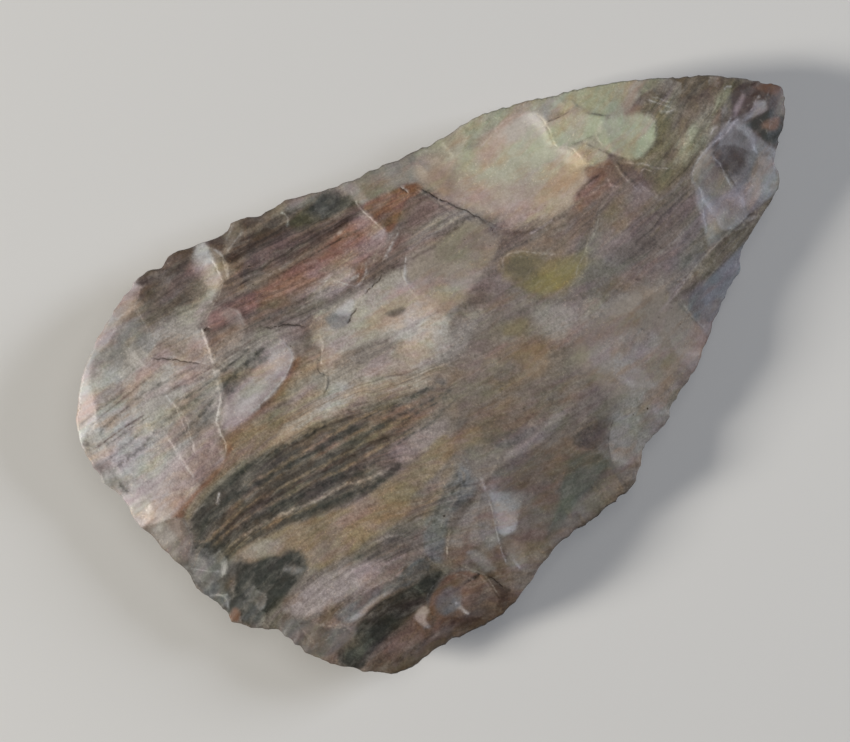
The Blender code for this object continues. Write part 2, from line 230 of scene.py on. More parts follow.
# Flake scars: name, strike point and end point as along,across in shares of the length and of the
# half width, breadth as a share of the length, then as shares of the face's rise: hollow, bite at
# the edge, drop at the end, and lean down to the left of the run
UPPER_FLAKES = (
    "base_sweep -0.004,0.262 0.197,0.41 0.185 0.088 -0.037 0.064 0",
    "base_bevel_low 0.008,0.77 0.062,0.61 0.11 0.052 -0.015 0 0",
    "base_bevel_high 0.134,0.979 0.157,0.867 0.1 0.041 -0.015 0 0",
    "base_shoulder 0.077,0.908 0.173,0.549 0.13 0.078 -0.015 0 0",
    "grey_spoon 0.229,1.01 0.214,0.68 0.122 0.083 -0.007 0.037 0.05",
    "grey_tail 0.185,0.897 0.201,0.508 0.075 0.055 0.018 0.037 0.034",
    "spoon_side 0.296,0.96 0.296,0.76 0.045 0.041 -0.011 0 0",
    "red_field 0.38,0.938 0.381,0.45 0.204 0.096 -0.007 0.037 0.068",
    "red_ridge_top 0.52,0.805 0.524,0.66 0.1 0.041 -0.015 0 0",
    "cream_field 0.645,0.745 0.66,0.2 0.178 0.107 -0.055 0.046 0.012",
    "cream_side 0.751,0.641 0.757,0.262 0.065 0.046 -0.015 0 0",
    "pale_oval 0.812,0.569 0.803,0.169 0.085 0.055 -0.015 0.018 0",
    "tip_upper 0.897,0.405 0.859,0.077 0.12 0.059 -0.015 0 0",
    "tip_nose 0.985,0.19 0.933,0.077 0.05 0.048 -0.015 0 0",
    "tip_under_nose 0.984,-0.118 0.952,0.056 0.055 0.055 -0.015 0 0",
    "blue_facet_outer 0.933,-0.272 0.908,0.067 0.088 0.044 -0.011 0.01 0",
    "blue_facet_inner 0.88,-0.31 0.868,0.04 0.11 0.06 -0.015 0.01 0",
    "long_edge_low 0.755,-0.58 0.738,-0.333 0.125 0.059 -0.015 0 0",
    "long_edge_tip 0.837,-0.405 0.827,-0.262 0.15 0.059 -0.015 0 0",
    "side_low 0.677,-0.7 0.639,-0.374 0.13 0.064 -0.015 0 0",
    "blue_flank 0.59,-0.81 0.567,-0.58 0.105 0.059 -0.011 0.009 0",
    "broad_low 0.462,-0.94 0.463,-0.47 0.19 0.092 -0.011 0.018 0.04",
    "narrow_low 0.383,-0.969 0.377,-0.743 0.058 0.048 -0.015 0 0",
    "orange_bowl 0.281,-1.02 0.281,-0.735 0.085 0.074 -0.011 0.018 0",
    "olive_bowl 0.183,-0.985 0.22,-0.615 0.155 0.085 -0.011 0.018 0",
    "corner_large 0.086,-0.785 0.15,-0.64 0.075 0.059 -0.015 0 0",
    "corner_small 0.064,-0.559 0.112,-0.58 0.06 0.052 -0.015 0 0",
    "base_low 0.032,-0.446 0.128,-0.436 0.1 0.048 -0.015 0 0",
    "base_grey 0.013,-0.251 0.14,-0.272 0.09 0.048 -0.015 0 0",
    "base_middle 0,0.056 0.058,0.067 0.065 0.048 -0.015 0 0",
    "base_nick 0.006,-0.108 0.07,-0.108 0.055 0.048 -0.015 0 0",
    "banded_field 0.045,-0.067 0.422,-0.149 0.19 0.064 0.028 0 0",
    "ochre_field 0.14,0.225 0.335,0.3 0.085 0.041 0.028 0.026 0",
    "centre_cream 0.33,0.225 0.482,0.275 0.125 0.041 0.013 0.029 0",
    "right_field 0.856,-0.19 0.652,0.015 0.15 0.048 0.018 0 0",
    "centre_low 0.383,-0.354 0.6,-0.333 0.11 0.037 0.013 0 0",
    "mauve_low 0.166,-0.436 0.358,-0.477 0.08 0.037 0.013 0 0",
)

UNDER_FLAKES = (
    "under_shoulder 0.095,0.93 0.225,0.47 0.18 0.105 -0.018 0.022 0",
    "under_upper_1 0.262,1 0.3,0.43 0.15 0.12 -0.013 0.033 0.025",
    "under_upper_2 0.405,0.93 0.395,0.5 0.135 0.098 -0.018 0 0",
    "under_upper_3 0.548,0.81 0.54,0.32 0.175 0.12 -0.013 0.033 -0.025",
    "under_upper_4 0.7,0.71 0.665,0.33 0.14 0.098 -0.018 0 0",
    "under_upper_5 0.815,0.54 0.765,0.16 0.135 0.098 -0.018 0.022 0",
    "under_tip_upper 0.915,0.34 0.865,0.06 0.11 0.088 -0.018 0 0",
    "under_tip_lower 0.93,-0.22 0.88,-0.01 0.09 0.088 -0.018 0 0",
    "under_lower_5 0.845,-0.4 0.79,-0.12 0.12 0.088 -0.018 0 0",
    "under_lower_4 0.735,-0.62 0.68,-0.23 0.165 0.12 -0.013 0.033 0.025",
    "under_lower_3 0.6,-0.8 0.59,-0.4 0.13 0.098 -0.018 0 0",
    "under_lower_2 0.47,-0.925 0.465,-0.43 0.18 0.12 -0.013 0.033 -0.025",
    "under_lower_1 0.33,-1 0.335,-0.53 0.13 0.098 -0.018 0 0",
    "under_heel 0.19,-0.975 0.245,-0.46 0.165 0.114 -0.013 0.022 0",
    "under_base_low 0.05,-0.51 0.215,-0.33 0.15 0.098 -0.018 0 0",
    "under_base_middle 0.005,-0.08 0.22,-0.04 0.15 0.105 -0.018 0.022 0",
    "under_base_high -0.005,0.4 0.2,0.23 0.15 0.098 -0.044 0 0",
)

# Colour zones of the upper face, painted in this order: name, colour, strength, softness of the
# edge in tenths of a millimetre, strength of the streaks, where a zone fades the direction it fades
# to in degrees, and its outline. Besides the stone's own colours they hold painted light and shade:
# the gleam and glow zones are painted highlights, the shade and shadow zones painted shade, and the
# colours carry some of the shading of the broad facets too. As in the next tables, each point is
# along,across in thousandths of the length from the middle of the base
ZONES = (
    "base_field bone 1 6 0.25 -13,184 13,216 51,251 102,286 185,321 243,315 230,267 166,235 166,216 "
    "206,163 198,145 182,117 160,91 147,65 131,51 51,32 0,43 -13,120",
    "base_cool pearl 0.45 14 0.35 3,152 58,145 105,149 131,129 118,101 64,91 6,85",
    "base_light pearl 0.7 16 0.3 45,241 83,248 105,232 96,196 80,170 38,152 32,190 51,216",
    "base_bright pearl 0.3 14 0.2 77,228 102,222 134,222 166,228 166,200 128,200 89,187",
    "base_dip slate 0.3 10 0.2 93,182 127,185 133,157 102,153",
    "base_shade slate 0.45 14 0.5 70,133 134,145 198,152 192,126 166,97 109,85 77,107",
    "base_edge slate 0.7 5 0.2 1,149 20,145 22,117 3,112",
    "base_glow pearl 0.55 12 0.3 26,165 83,168 86,126 45,117 26,133",
    "shoulder_grey slate 0.5 10 0.1 102,267 166,283 166,248 134,235 89,241 51,222 70,248",
    "base_warm peach 0.12 12 0.1 58,235 121,248 153,216 121,200 64,209",
    "base_moss sage 0.18 12 0.3 64,241 121,254 166,235 166,209 115,184 58,190",
    # The bevel zones are painted highlights on the bevels at the base end of the upper edge, which face the
    # key light
    "bevel_low frost 0.85 2 0 1,170 6,200 29,216 51,241 72,255 68,244 58,228 51,212 46,200 37,191 20,188",
    "bevel_mid pearl 0.8 2 0 64,244 83,268 118,287 142,292 139,281 125,273 112,264 89,261 72,253",
    "bevel_high bone 0.8 2 0 137,278 142,294 188,318 189,301 184,295 171,285 160,282",
    "bevel_tip frost 0.3 3 0 -90 160,299 188,315 189,300 179,291 166,289",
    "spoon_top umber 0.8 3 0.6 185,297 211,294 243,295 286,290 285,282 243,283 204,283 176,286",
    "spoon_rim umber 0.9 3 0.3 190,310 243,312 289,302 286,292 243,296 211,295 190,299",
    "spoon_rim_brown loam 0.55 5 0.5 198,308 256,310 281,299 249,297 217,299",
    "grey_spoon slate 0.85 9 0.45 166,271 178,286 230,286 286,286 284,270 277,253 262,244 230,240 195,242 "
    "165,248",
    # Painted shade in the hollow of the spoon
    "spoon_dark ash 0.22 9 0.6 173,270 217,273 256,268 265,251 230,244 185,248",
    "spoon_brow umber 0.6 6 0.4 179,297 243,299 275,288 270,278 224,274 185,276",
    "spoon_pink salmon 0.4 5 0.2 243,280 261,286 272,278 263,268 247,270",
    "spoon_foot bone 0.7 9 0.3 164,244 195,242 230,240 267,242 256,228 221,212 215,185 206,163 182,193 "
    "166,216",
    "spoon_shade slate 0.35 8 0.3 173,189 208,189 203,163 185,157",
    "spoon_gleam frost 0.65 5 0 180 254,276 275,300 288,299 284,274 279,257 276,246 265,236 246,227 "
    "253,241",
    "spoon_gleam_low frost 0.2 6 0 259,265 280,274 277,246 265,234 248,227 253,241",
    "spoon_corner_gleam frost 0.35 3 0 180 198,206 221,209 217,195 212,177 205,163 198,184",
    "spoon_facet fawn 0.7 2 0 284,270 288,289 294,276 294,260 290,248 280,236 270,231 277,244",
    "beside_spoon stone 0.65 5 0.6 249,227 270,231 281,236 307,241 319,235 358,228 358,216 294,219 256,221 "
    "227,212",
    "spoon_end umber 0.6 4 0.4 256,212 270,212 273,200 270,184 259,177 253,187",
    "base_foot blush 0.75 7 0.15 3,88 58,92 128,97 157,97 152,74 142,56 83,39 51,33 3,44",
    "base_foot_red rust 0.36 8 0.35 51,42 77,75 115,98 166,103 156,75 139,55 96,42",
    "base_foot_deep plum 0.55 6 0.5 96,46 105,78 134,85 156,87 146,62 121,48",
    "foot_shade plum 0.25 9 0.4 77,81 121,85 128,62 89,46 70,56",
    "base_foot_gleam frost 0.15 5 0 0 0,94 18,87 33,65 54,46 38,42 5,50",
    "tongue_bed slate 0.3 7 0.6 198,134 243,142 281,145 294,139 249,131 211,122 182,112",
    "tongue blush 0.75 4 0.1 166,87 180,106 198,117 230,127 268,137 288,135 296,125 295,113 280,102 256,93 "
    "224,87 185,81",
    "tongue_light frost 0.3 7 0 192,102 230,117 275,129 290,125 281,110 243,99 198,91",
    "under_tongue tan 0.85 5 0.5 142,52 158,74 192,76 230,81 262,88 297,102 323,99 327,92 312,83 309,74 "
    "313,65 297,50 256,45 192,44 141,41 96,34 58,20 50,27 89,41",
    "under_tongue_red rust 0.85 4 0.4 -90 161,80 192,81 230,85 262,92 295,107 299,101 262,84 217,76 179,69 "
    "150,53",
    "under_tongue_green sage 0.75 4 0.5 230,69 262,78 294,81 311,78 312,65 297,52 256,51 217,56",
    "under_tongue_yellow mustard 0.3 6 0.4 236,80 294,98 323,96 307,83 249,70",
    "tongue_low bone 0.5 8 0.3 246,62 281,66 297,52 262,46",
    "tongue_foot bone 0.4 8 0.3 265,83 313,97 323,85 310,62 280,61",
    "rust_line rust 0.9 3 0.2 42,35 70,44 102,48 141,56 161,69 160,61 128,48 96,42 64,32 46,23",
    "tongue_side bone 0.75 8 0.3 227,140 249,145 275,145 294,139 307,126 294,126 262,135 230,129",
    "field_brow sage 0.6 5 0.4 89,30 128,42 185,43 243,39 243,30 166,32 102,24",
    "red_brown umber 1 5 0.7 294,270 332,273 390,269 415,262 422,241 383,242 332,251 300,255",
    "red_brown_rim ochre 0.4 4 0.4 332,297 371,287 409,281 447,265 435,262 396,271 339,274",
    "red_brown_notch plum 0.8 3 0.2 288,299 308,297 309,281 295,274 291,285",
    "notch_rim umber 0.9 5 0.2 291,297 319,296 358,290 383,281 358,276 319,278 294,274",
    "notch_light fawn 0.35 2 0 309,285 313,295 340,300 334,287 323,278 307,269 299,271",
    "olive_shadow olive 1 5 0.4 390,255 422,259 447,255 466,238 474,219 447,223 415,232 393,242",
    # Painted shadow, deepening the one before it
    "olive_deep moss 1 8 0.4 415,257 454,257 472,223 444,223 422,230",
    "rim_bone bone 0.35 5 0.2 393,274 436,268 439,259 409,259",
    "plum_bands plum 1 5 1 281,241 332,249 383,241 428,230 476,219 478,206 422,205 358,212 294,217 249,223",
    "salmon_field salmon 0.92 4 0.7 227,206 243,218 294,209 358,205 422,203 477,207 480,187 482,167 "
    "460,156 422,159 383,170 332,180 275,189 230,196",
    "salmon_light salmon 0.4 8 0.1 332,200 396,195 422,170 383,172 339,184",
    "salmon_core salmon 0.35 8 0.3 399,202 435,202 474,199 478,174 466,158 422,161 390,170 371,185",
    "red_start plum 0.5 8 0.9 217,212 256,217 288,209 281,189 230,195",
    # Painted shade over the light rim where the crown ends
    "crown_end umber 0.35 5 0.2 253,212 275,212 277,187 268,174 254,177",
    "wall_gleam blush 0.6 4 0 180 444,206 475,209 479,187 481,170 466,170 457,187",
    "red_foot blush 0.45 8 0.3 415,176 479,174 481,159 447,152 422,158",
    "under_red plum 0.65 6 1 220,193 275,184 332,175 383,165 447,149 550,170 553,145 581,117 524,117 "
    "460,125 409,131 358,138 326,133 294,155 256,166 217,161",
    "under_pale bone 0.4 12 0.8 498,163 550,163 589,140 589,119 537,131 498,138",
    "under_red_grey bone 0.3 9 0.8 224,177 262,170 307,152 358,145 383,134 332,129 294,145 256,158 220,152",
    "red_ash bone 0.4 9 0.5 217,161 256,159 294,150 281,142 243,142 204,138",
    "red_pale blush 0.4 10 0.4 332,187 383,184 422,170 415,155 377,145 345,165",
    "red_flake rust 0.55 2 0.1 390,156 401,152 414,138 422,154 442,157 429,142 415,135 399,143",
    "red_flake_grey blush 0.9 2 0 383,166 401,168 412,158 412,150 396,156",
    "red_tail salmon 0.4 6 0.6 332,186 473,157 524,170 553,170 550,152 460,145 383,157",
    "flake_pale blush 0.6 5 0.3 358,161 390,170 417,161 415,145 390,142 364,148",
    "ridge_sage sage 0.95 4 0.1 469,254 511,253 543,246 578,230 569,216 550,205 524,209 486,214 477,222",
    "ridge_pale bone 0.45 8 0.1 508,241 569,230 557,202 524,199",
    "ridge_light bone 0.6 3 0 470,253 481,253 488,235 486,217 477,219 473,235",
    "ridge_rust rust 1 3 0.4 476,214 511,210 537,205 551,193 544,184 524,185 486,166 481,184",
    "ridge_rust_deep bark 0.45 4 0.3 478,195 492,191 500,179 484,170 481,184",
    "rust_tail plum 0.6 5 0.7 505,170 524,185 550,184 557,161 530,155 486,157",
    "centre_chalk chalk 1 7 0.25 325,112 342,129 358,135 409,129 466,120 465,106 473,83 482,59 479,37 "
    "461,5 422,2 358,28 313,46 297,50 313,65 310,78 327,92",
    "chalk_light frost 0.35 10 0.3 409,69 447,81 479,59 476,37 447,14 415,30",
    "chalk_pink blush 0.5 8 0 396,101 463,107 472,81 479,62 435,69 403,81",
    "chalk_blue steel 0.65 3 0.1 353,125 369,126 387,112 376,103 358,107",
    "chalk_white frost 0.45 3 0 371,125 396,125 388,113 378,113",
    "chalk_streak plum 0.5 9 1 332,72 374,70 415,46 383,44 345,56",
    "chalk_mark slate 0.9 2 0 419,87 441,80 440,74 425,77",
    "chalk_tail chalk 0.9 6 0.6 249,46 307,46 371,25 435,2 450,-21 422,-27 358,-2 294,18 243,29 185,37",
    "beige_facet fawn 1 3 0.1 484,127 537,121 578,117 586,91 588,74 562,61 518,47 486,46 479,62 472,85 "
    "468,104",
    "beige_green khaki 0.5 8 0 530,117 578,112 581,85 543,81 518,101",
    "beige_white chalk 0.6 6 0 482,65 511,69 530,56 511,44 486,44",
    "facet_foot bone 0.35 9 0.1 479,81 505,85 524,62 543,62 530,46 486,29 476,50",
    "below_beige plum 0.45 5 0.5 511,42 550,52 588,75 597,65 578,53 569,37 537,30 479,5 473,24",
    "chalk_foot bone 0.45 10 0.3 415,8 460,18 511,27 530,18 486,2 466,-13 435,-5",
    "chalk_left pearl 0.6 8 0.3 278,48 319,50 335,34 313,24 284,26",
    "chalk_dip stone 0.35 8 0.7 323,65 372,67 376,46 332,43",
    "tail_end plum 0.6 8 0.8 415,-11 450,-13 455,-30 422,-37",
    "cream_peach peach 1 9 0.05 559,214 578,223 597,217 639,206 709,187 722,155 728,94 738,81 709,64 "
    "671,60 639,72 613,91 588,126 565,161 556,190",
    "peach_deep rust 0.42 10 0 561,193 578,202 593,187 591,166 578,159 565,174",
    "peach_foot ochre 0.4 5 0.2 604,106 633,96 652,81 671,65 639,73 613,87",
    "peach_low peach 0.9 12 0.2 607,91 639,85 671,69 661,59 626,62 604,75",
    "cream_field cream 1 14 0 604,206 639,189 690,196 714,190 725,177 727,155 721,135 725,121 737,106 "
    "728,91 690,101 652,126 620,149 606,177",
    "cream_shade fawn 0.3 16 0 613,184 645,180 681,152 671,126 633,142",
    "cream_low fawn 0.3 12 0 652,131 690,133 716,106 690,90 658,101",
    "chalk_bright pearl 0.3 12 0.1 454,94 486,94 493,62 466,56 450,75",
    "cream_gleam ivory 0.95 4 0 180 696,195 716,191 728,177 728,155 721,133 712,145 714,170 703,184",
    "cream_gleam_low ivory 0.95 4 0 180 709,133 722,133 728,123 738,108 735,89 721,99 711,117",
    "retouch_strip straw 0.75 4 0.1 575,232 652,227 709,214 767,186 741,184 723,185 709,193 677,195 "
    "639,189 604,206 591,216",
    "retouch_grey sage 0.25 5 0.1 613,216 652,206 677,202 652,191 626,191 607,206",
    "strip_start fawn 0.6 6 0.1 576,230 621,227 634,209 613,200 589,209",
    "side_dark straw 0.6 4 0 723,186 735,195 755,188 751,165 750,158 728,165",
    "side_crest straw 0.95 4 0 753,188 770,186 806,166 781,159 751,158",
    "side_straw straw 1 2 0 727,163 752,159 768,157 783,138 794,125 778,115 770,112 748,117 727,124 "
    "721,134",
    "side_upper straw 0.8 2 0 767,156 787,170 812,166 859,140 895,112 869,117 845,121 813,112 799,121 "
    "781,139",
    "side_ochre ochre 0.35 3 0 763,154 773,158 781,145 777,143",
    "side_buff cream 0.65 2 0 727,122 748,117 769,112 767,91 762,81 751,74 736,90 737,107",
    "side_rust rust 0.65 2 0.1 730,87 742,84 763,78 760,64 737,64 728,72",
    "pale_oval straw 1 4 0 771,113 783,123 802,120 821,112 834,104 842,91 836,79 822,64 799,57 783,62 "
    "773,74 767,92",
    "tip_khaki khaki 1 4 0.8 834,104 869,117 895,113 933,88 965,56 939,37 895,23 869,15 805,5 781,14 "
    "781,56 799,56 824,62 842,87",
    "tip_grey sage 0.45 7 0.5 869,99 914,106 939,83 895,79 863,83",
    "tip_gleam frost 0.55 3 0 180 866,107 883,121 891,115 877,104",
    "tip_brown loam 0.5 4 0 845,126 866,134 879,123 866,108 849,113",
    "tip_dark loam 0.75 9 0.3 869,120 901,120 933,91 949,69 920,69 888,78 869,94",
    "oval_brown ochre 0.6 3 0 815,115 831,115 838,106 822,107",
    "tip_yellow straw 0.4 6 0.5 843,43 882,55 933,64 936,56 895,46 850,34",
    "tip_straw straw 0.45 7 0.5 831,24 850,42 901,48 895,27 856,19",
    "mauve_bands plum 0.5 6 0.9 588,76 620,81 671,60 728,62 767,70 781,56 781,30 741,30 696,18 652,5 "
    "613,30 588,56",
    "mauve_red salmon 0.55 3 0.3 696,62 716,71 750,66 728,60 706,58",
    "right_upper fawn 0.6 8 0.3 652,-8 696,14 722,37 760,43 780,11 741,-8 677,-21",
    "right_mauve plum 0.4 9 0.9 716,-11 773,-5 832,-8 815,-46 805,-78 728,-85 703,-46",
    "right_blue steel 0.35 9 0.2 767,-59 812,-46 805,-85 767,-92 741,-78",
    "stroke_dark plum 0.7 2 0 765,62 774,64 781,46 785,18 777,24 771,37",
    "mustard_spot mustard 0.6 9 0.1 570,44 583,55 602,50 626,28 645,14 668,0 649,-16 613,-21 585,-5 576,14",
    "mustard_brown khaki 0.5 4 0 578,46 601,48 625,27 613,18 585,24",
    "mustard_core mustard 0.55 8 0 580,18 597,16 623,-2 617,-13 591,-5",
    "mustard_low mustard 0.55 6 0 604,10 633,4 653,-8 639,-18 613,-18",
    "mustard_shade moss 0.3 6 0.1 573,44 588,52 604,42 604,14 591,4 580,21",
    "above_mustard fawn 0.45 8 0.3 613,48 665,52 681,24 658,10 629,21",
    "left_middle stone 1 2 0.1 0,46 29,42 52,34 60,23 50,9 38,-11 31,-22 3,-21",
    "left_warm rust 0.3 4 0.1 37,37 56,32 50,14 38,5",
    "left_light bone 0.2 3 0 13,37 31,35 36,18 24,-8 14,-2",
    "left_rim ash 0.85 5 0.1 13,-18 33,-22 51,-41 65,-59 54,-78 46,-104 29,-104 19,-59",
    "left_inner slate 0.8 7 0.2 42,-11 70,-13 80,-46 83,-72 58,-72 45,-46",
    "left_grey steel 0.6 4 0 23,-64 46,-64 45,-90 32,-92",
    "dark_field moss 0.7 3 0.9 46,-21 58,8 70,23 102,32 173,39 230,30 281,23 332,10 358,-8 332,-46 323,-81 "
    "275,-85 230,-77 192,-67 166,-58 121,-50 70,-48",
    "dark_tail plum 0.35 7 1 0 307,18 358,8 415,-21 435,-37 422,-46 358,-50 319,-72",
    "tail_orange rust 0.3 5 0.6 307,-28 358,-28 415,-34 409,-46 358,-50 319,-44",
    "tail_lilac blush 0.35 5 0.5 323,-54 383,-58 403,-72 371,-81 326,-77",
    "tail_light stone 0.8 9 0.6 310,12 358,5 377,-13 339,-21 310,-11",
    "field_top stone 0.45 8 0.6 217,30 281,26 310,12 275,7 230,16",
    "field_foot stone 0.45 6 0.6 281,-50 319,-46 332,-62 307,-72 281,-65",
    "belly_tan tan 1 3 0.25 77,-48 134,-53 192,-69 243,-85 294,-86 345,-85 390,-80 387,-104 358,-114 "
    "332,-118 307,-122 299,-133 256,-136 236,-131 211,-135 173,-129 153,-118 137,-97 118,-80 96,-69",
    "belly_orange ochre 0.45 8 0.25 147,-78 204,-81 281,-94 319,-104 281,-126 230,-124 173,-120",
    "belly_pale bone 0.45 4 0.1 72,-50 121,-54 142,-67 132,-78 105,-69 86,-62",
    "belly_moss moss 0.4 5 0.2 52,-46 84,-46 89,-72 64,-78",
    "belly_smudge slate 0.3 7 0 153,-104 185,-101 198,-113 166,-118",
    "moss_patch moss 1 3 0 46,-108 55,-88 70,-72 82,-59 95,-69 118,-75 133,-90 151,-114 128,-118 107,-126 "
    "86,-124 64,-117",
    "moss_edge moss 1 6 0.2 35,-110 58,-85 102,-85 147,-85 153,-113 121,-126 89,-133 51,-141",
    "field_start moss 0.7 6 0.5 56,-21 70,10 102,11 100,-13 70,-28",
    "patch_gleam pearl 0.3 4 0 127,-100 138,-104 142,-114 132,-113",
    "corner_rust rust 0.85 2 0 29,-110 41,-103 46,-109 37,-120",
    "belly_mauve mauve 0.9 5 0.6 56,-136 102,-135 153,-126 217,-137 268,-139 302,-133 313,-120 364,-114 "
    "387,-124 388,-155 358,-174 307,-182 230,-175 166,-183 115,-174 70,-155",
    "belly_lilac blush 0.55 6 0.3 96,-141 153,-136 211,-149 230,-168 185,-177 128,-171 102,-158",
    "belly_dark ash 0.5 6 0.8 211,-139 268,-142 294,-155 281,-171 243,-165 217,-155",
    "swirl steel 0.7 4 0.5 383,-118 358,-129 332,-136 307,-155 281,-190 294,-212 313,-187 339,-168 "
    "383,-161 387,-139",
    "swirl_brown tan 0.5 4 0.5 332,-133 358,-118 383,-115 381,-126 358,-133 319,-152 307,-149",
    "lavender_strip steel 1 3 0.2 142,-186 192,-186 226,-191 270,-189 279,-200 270,-210 235,-207 192,-198 "
    "158,-205",
    "strip_light pearl 0.55 2 0 153,-201 173,-198 198,-197 220,-202 198,-204 166,-206",
    "olive_bowl moss 0.92 3 0.4 116,-225 158,-212 198,-203 238,-211 249,-212 270,-211 288,-220 265,-232 "
    "251,-240 213,-245 162,-252 128,-262 110,-241",
    "bowl_deep moss 0.5 8 0.3 230,-188 278,-188 281,-222 249,-225 230,-212",
    "bowl_light fern 0.5 6 0.3 118,-228 147,-220 166,-225 160,-241 131,-248",
    "grey_corner slate 1 3 0 70,-152 100,-161 128,-193 156,-216 134,-225 102,-222 84,-206 73,-181",
    "low_brown loam 1 5 0.3 137,-264 162,-252 213,-246 243,-241 245,-254 243,-265 230,-278 192,-286 "
    "160,-280",
    "low_rust rust 0.3 4 0.2 166,-258 230,-250 239,-267 217,-278 185,-270",
    "low_rim loam 0.8 5 0.1 134,-267 166,-281 217,-286 281,-290 332,-286 339,-312 243,-312 166,-302",
    "low_spot pearl 0.8 2 0 225,-246 239,-242 242,-250 234,-257 231,-270 224,-260",
    "orange_bowl rust 0.7 2 0.2 243,-264 245,-250 259,-238 286,-228 302,-232 313,-241 324,-258 313,-270 "
    "281,-289 249,-281 231,-277",
    "bowl_steel steel 0.8 4 0.1 250,-254 261,-243 280,-241 289,-252 281,-270 256,-270",
    "bowl_red bark 0.6 3 0.2 233,-277 256,-273 282,-281 286,-289 262,-286",
    "mass stone 1 4 0.2 293,-209 307,-198 347,-179 393,-168 388,-188 374,-206 365,-238 357,-270 332,-276 "
    "326,-251 307,-232",
    "mass_red rust 0.35 4 0.3 294,-216 313,-201 345,-193 377,-182 373,-206 358,-225 332,-219 307,-228",
    "mass_rust rust 0.45 4 0 339,-238 365,-235 359,-267 342,-273 334,-257",
    # Painted light on the upper side of the mass
    "mass_dust bone 0.5 4 0.3 313,-196 358,-174 390,-168 383,-182 351,-191 323,-206",
    "mass_crystal pearl 0.55 3 0 327,-218 339,-228 344,-254 336,-260 328,-241",
    "mass_dark moss 0.75 3 0 327,-257 336,-257 341,-288 332,-290",
    # Painted light on the upper side of the mass
    "mass_top bone 0.6 10 0.2 342,-200 383,-177 396,-174 383,-206 364,-228 345,-225",
    "mass_right bone 0.7 8 0.2 395,-165 436,-165 436,-184 401,-188",
    "low_loam umber 0.8 10 0.2 275,-280 326,-257 339,-276 332,-308 281,-305 256,-292",
    "low_edge loam 0.6 6 0.3 371,-269 422,-273 486,-269 550,-264 544,-284 473,-288 383,-289",
    "mass_shade loam 0.5 8 0.2 326,-222 351,-222 351,-276 332,-286 323,-257",
    "low_field stone 0.85 6 0.1 367,-238 383,-193 409,-168 460,-161 518,-174 550,-219 537,-264 473,-273 "
    "396,-280 358,-276",
    # Painted light on the wall that faces the bluish lamp from the right
    "blue_wall pearl 0.85 2 0 0 372,-223 378,-205 387,-187 396,-173 409,-184 431,-196 432,-205 414,-210 "
    "396,-229 381,-230",
    "low_gleam bone 0.5 5 0 367,-248 383,-241 390,-257 377,-276 363,-270",
    "green_grey fern 0.85 4 0.1 417,-264 444,-246 468,-225 490,-206 507,-198 532,-212 548,-220 543,-233 "
    "518,-243 477,-250 435,-265",
    "plum_wedge ash 0.6 2 0.2 522,-178 541,-179 578,-187 561,-202 550,-216 537,-211 516,-189",
    "plum_tint plum 0.5 3 0.1 550,-182 578,-187 561,-202 548,-216 541,-206",
    "low_orange rust 0.4 6 0.1 422,-184 460,-188 489,-186 486,-197 447,-204 429,-198",
    "low_orange_b rust 0.35 6 0 428,-218 452,-218 463,-232 441,-239",
    "low_ice pearl 0.35 5 0 578,-188 562,-201 551,-216 546,-233 565,-235 597,-219 604,-200",
    "low_pale bone 0.2 6 0 537,-241 588,-232 639,-206 677,-200 626,-228 562,-257",
    "centre_brown tan 0.35 10 0.2 435,-21 505,-8 569,-27 588,-72 537,-110 460,-104 415,-72",
    "orange_spot ochre 0.75 8 0 513,-53 534,-48 557,-60 553,-81 535,-92 515,-85",
    "centre_yellow mustard 0.35 5 0 525,-16 550,-14 559,-26 544,-35 528,-27",
    "middle_dust bone 0.5 8 0.25 569,-24 597,-26 617,-45 645,-53 652,-78 607,-85 575,-75 565,-50",
    "right_pink fawn 0.95 9 0 588,-85 677,-72 735,-110 741,-171 677,-203 604,-177 578,-123",
    "right_dust bone 0.5 7 0.25 601,-104 652,-110 684,-136 665,-158 620,-152 597,-126",
    "ochre_patch ochre 0.65 4 0.1 383,-95 403,-87 423,-92 433,-101 422,-112 396,-109",
    "centre_hollow slate 0.8 3 0.2 426,-113 450,-120 484,-136 479,-145 447,-142 429,-128",
    "hollow_light bone 0.1 5 0.1 390,-110 422,-113 435,-139 415,-158 393,-155",
    "stipple bone 0.4 4 0.1 435,-146 486,-147 518,-139 529,-147 498,-159 454,-159",
    # Bluish facets towards the tip, with the sheen of the bluish lamp painted into their colour
    "blue_facets ice 1 2 0.1 832,-14 834,-2 866,16 933,25 946,-8 951,-32 933,-53 914,-81 869,-83 805,-87 "
    "807,-72 824,-24",
    "facet_grey sage 0.8 2 0.1 833,-5 845,8 866,15 881,14 871,-4 875,-18 875,-39 861,-44 845,-40 834,-22",
    "facet_stipple bone 0.5 4 0 -90 833,-5 845,8 866,15 875,11 866,-2 843,-13",
    "facet_shade slate 0.3 7 0.1 877,-27 898,-21 904,-46 888,-67 869,-53",
    # Painted shade over the outer facet, in the hollow beside it and on the far facet
    "facet_outer slate 0.8 9 0.2 875,5 895,23 933,27 941,5 923,-14 914,-40 888,-46 877,-34",
    "blue_hollow umber 0.9 8 0.1 872,8 901,19 919,10 918,-11 901,-28 879,-28",
    "facet_far slate 0.55 8 0 904,-46 920,-21 933,-2 941,-21 937,-46 914,-72",
    # Painted sheen on the rim of the facets
    "facet_rim pearl 0.15 5 0 869,-64 901,-46 920,-44 927,-54 915,-74 875,-73",
    # Painted shade along the foot of the facets and on the inner facet
    "facet_base slate 0.45 4 0.2 824,-72 856,-72 888,-74 882,-85 850,-86 821,-86",
    "facet_inner slate 0.55 9 0 821,-30 837,-14 851,-46 869,-72 863,-91 824,-88",
    "facet_gleam_b frost 0.15 6 0 813,-50 827,-24 837,-46 831,-72 813,-72",
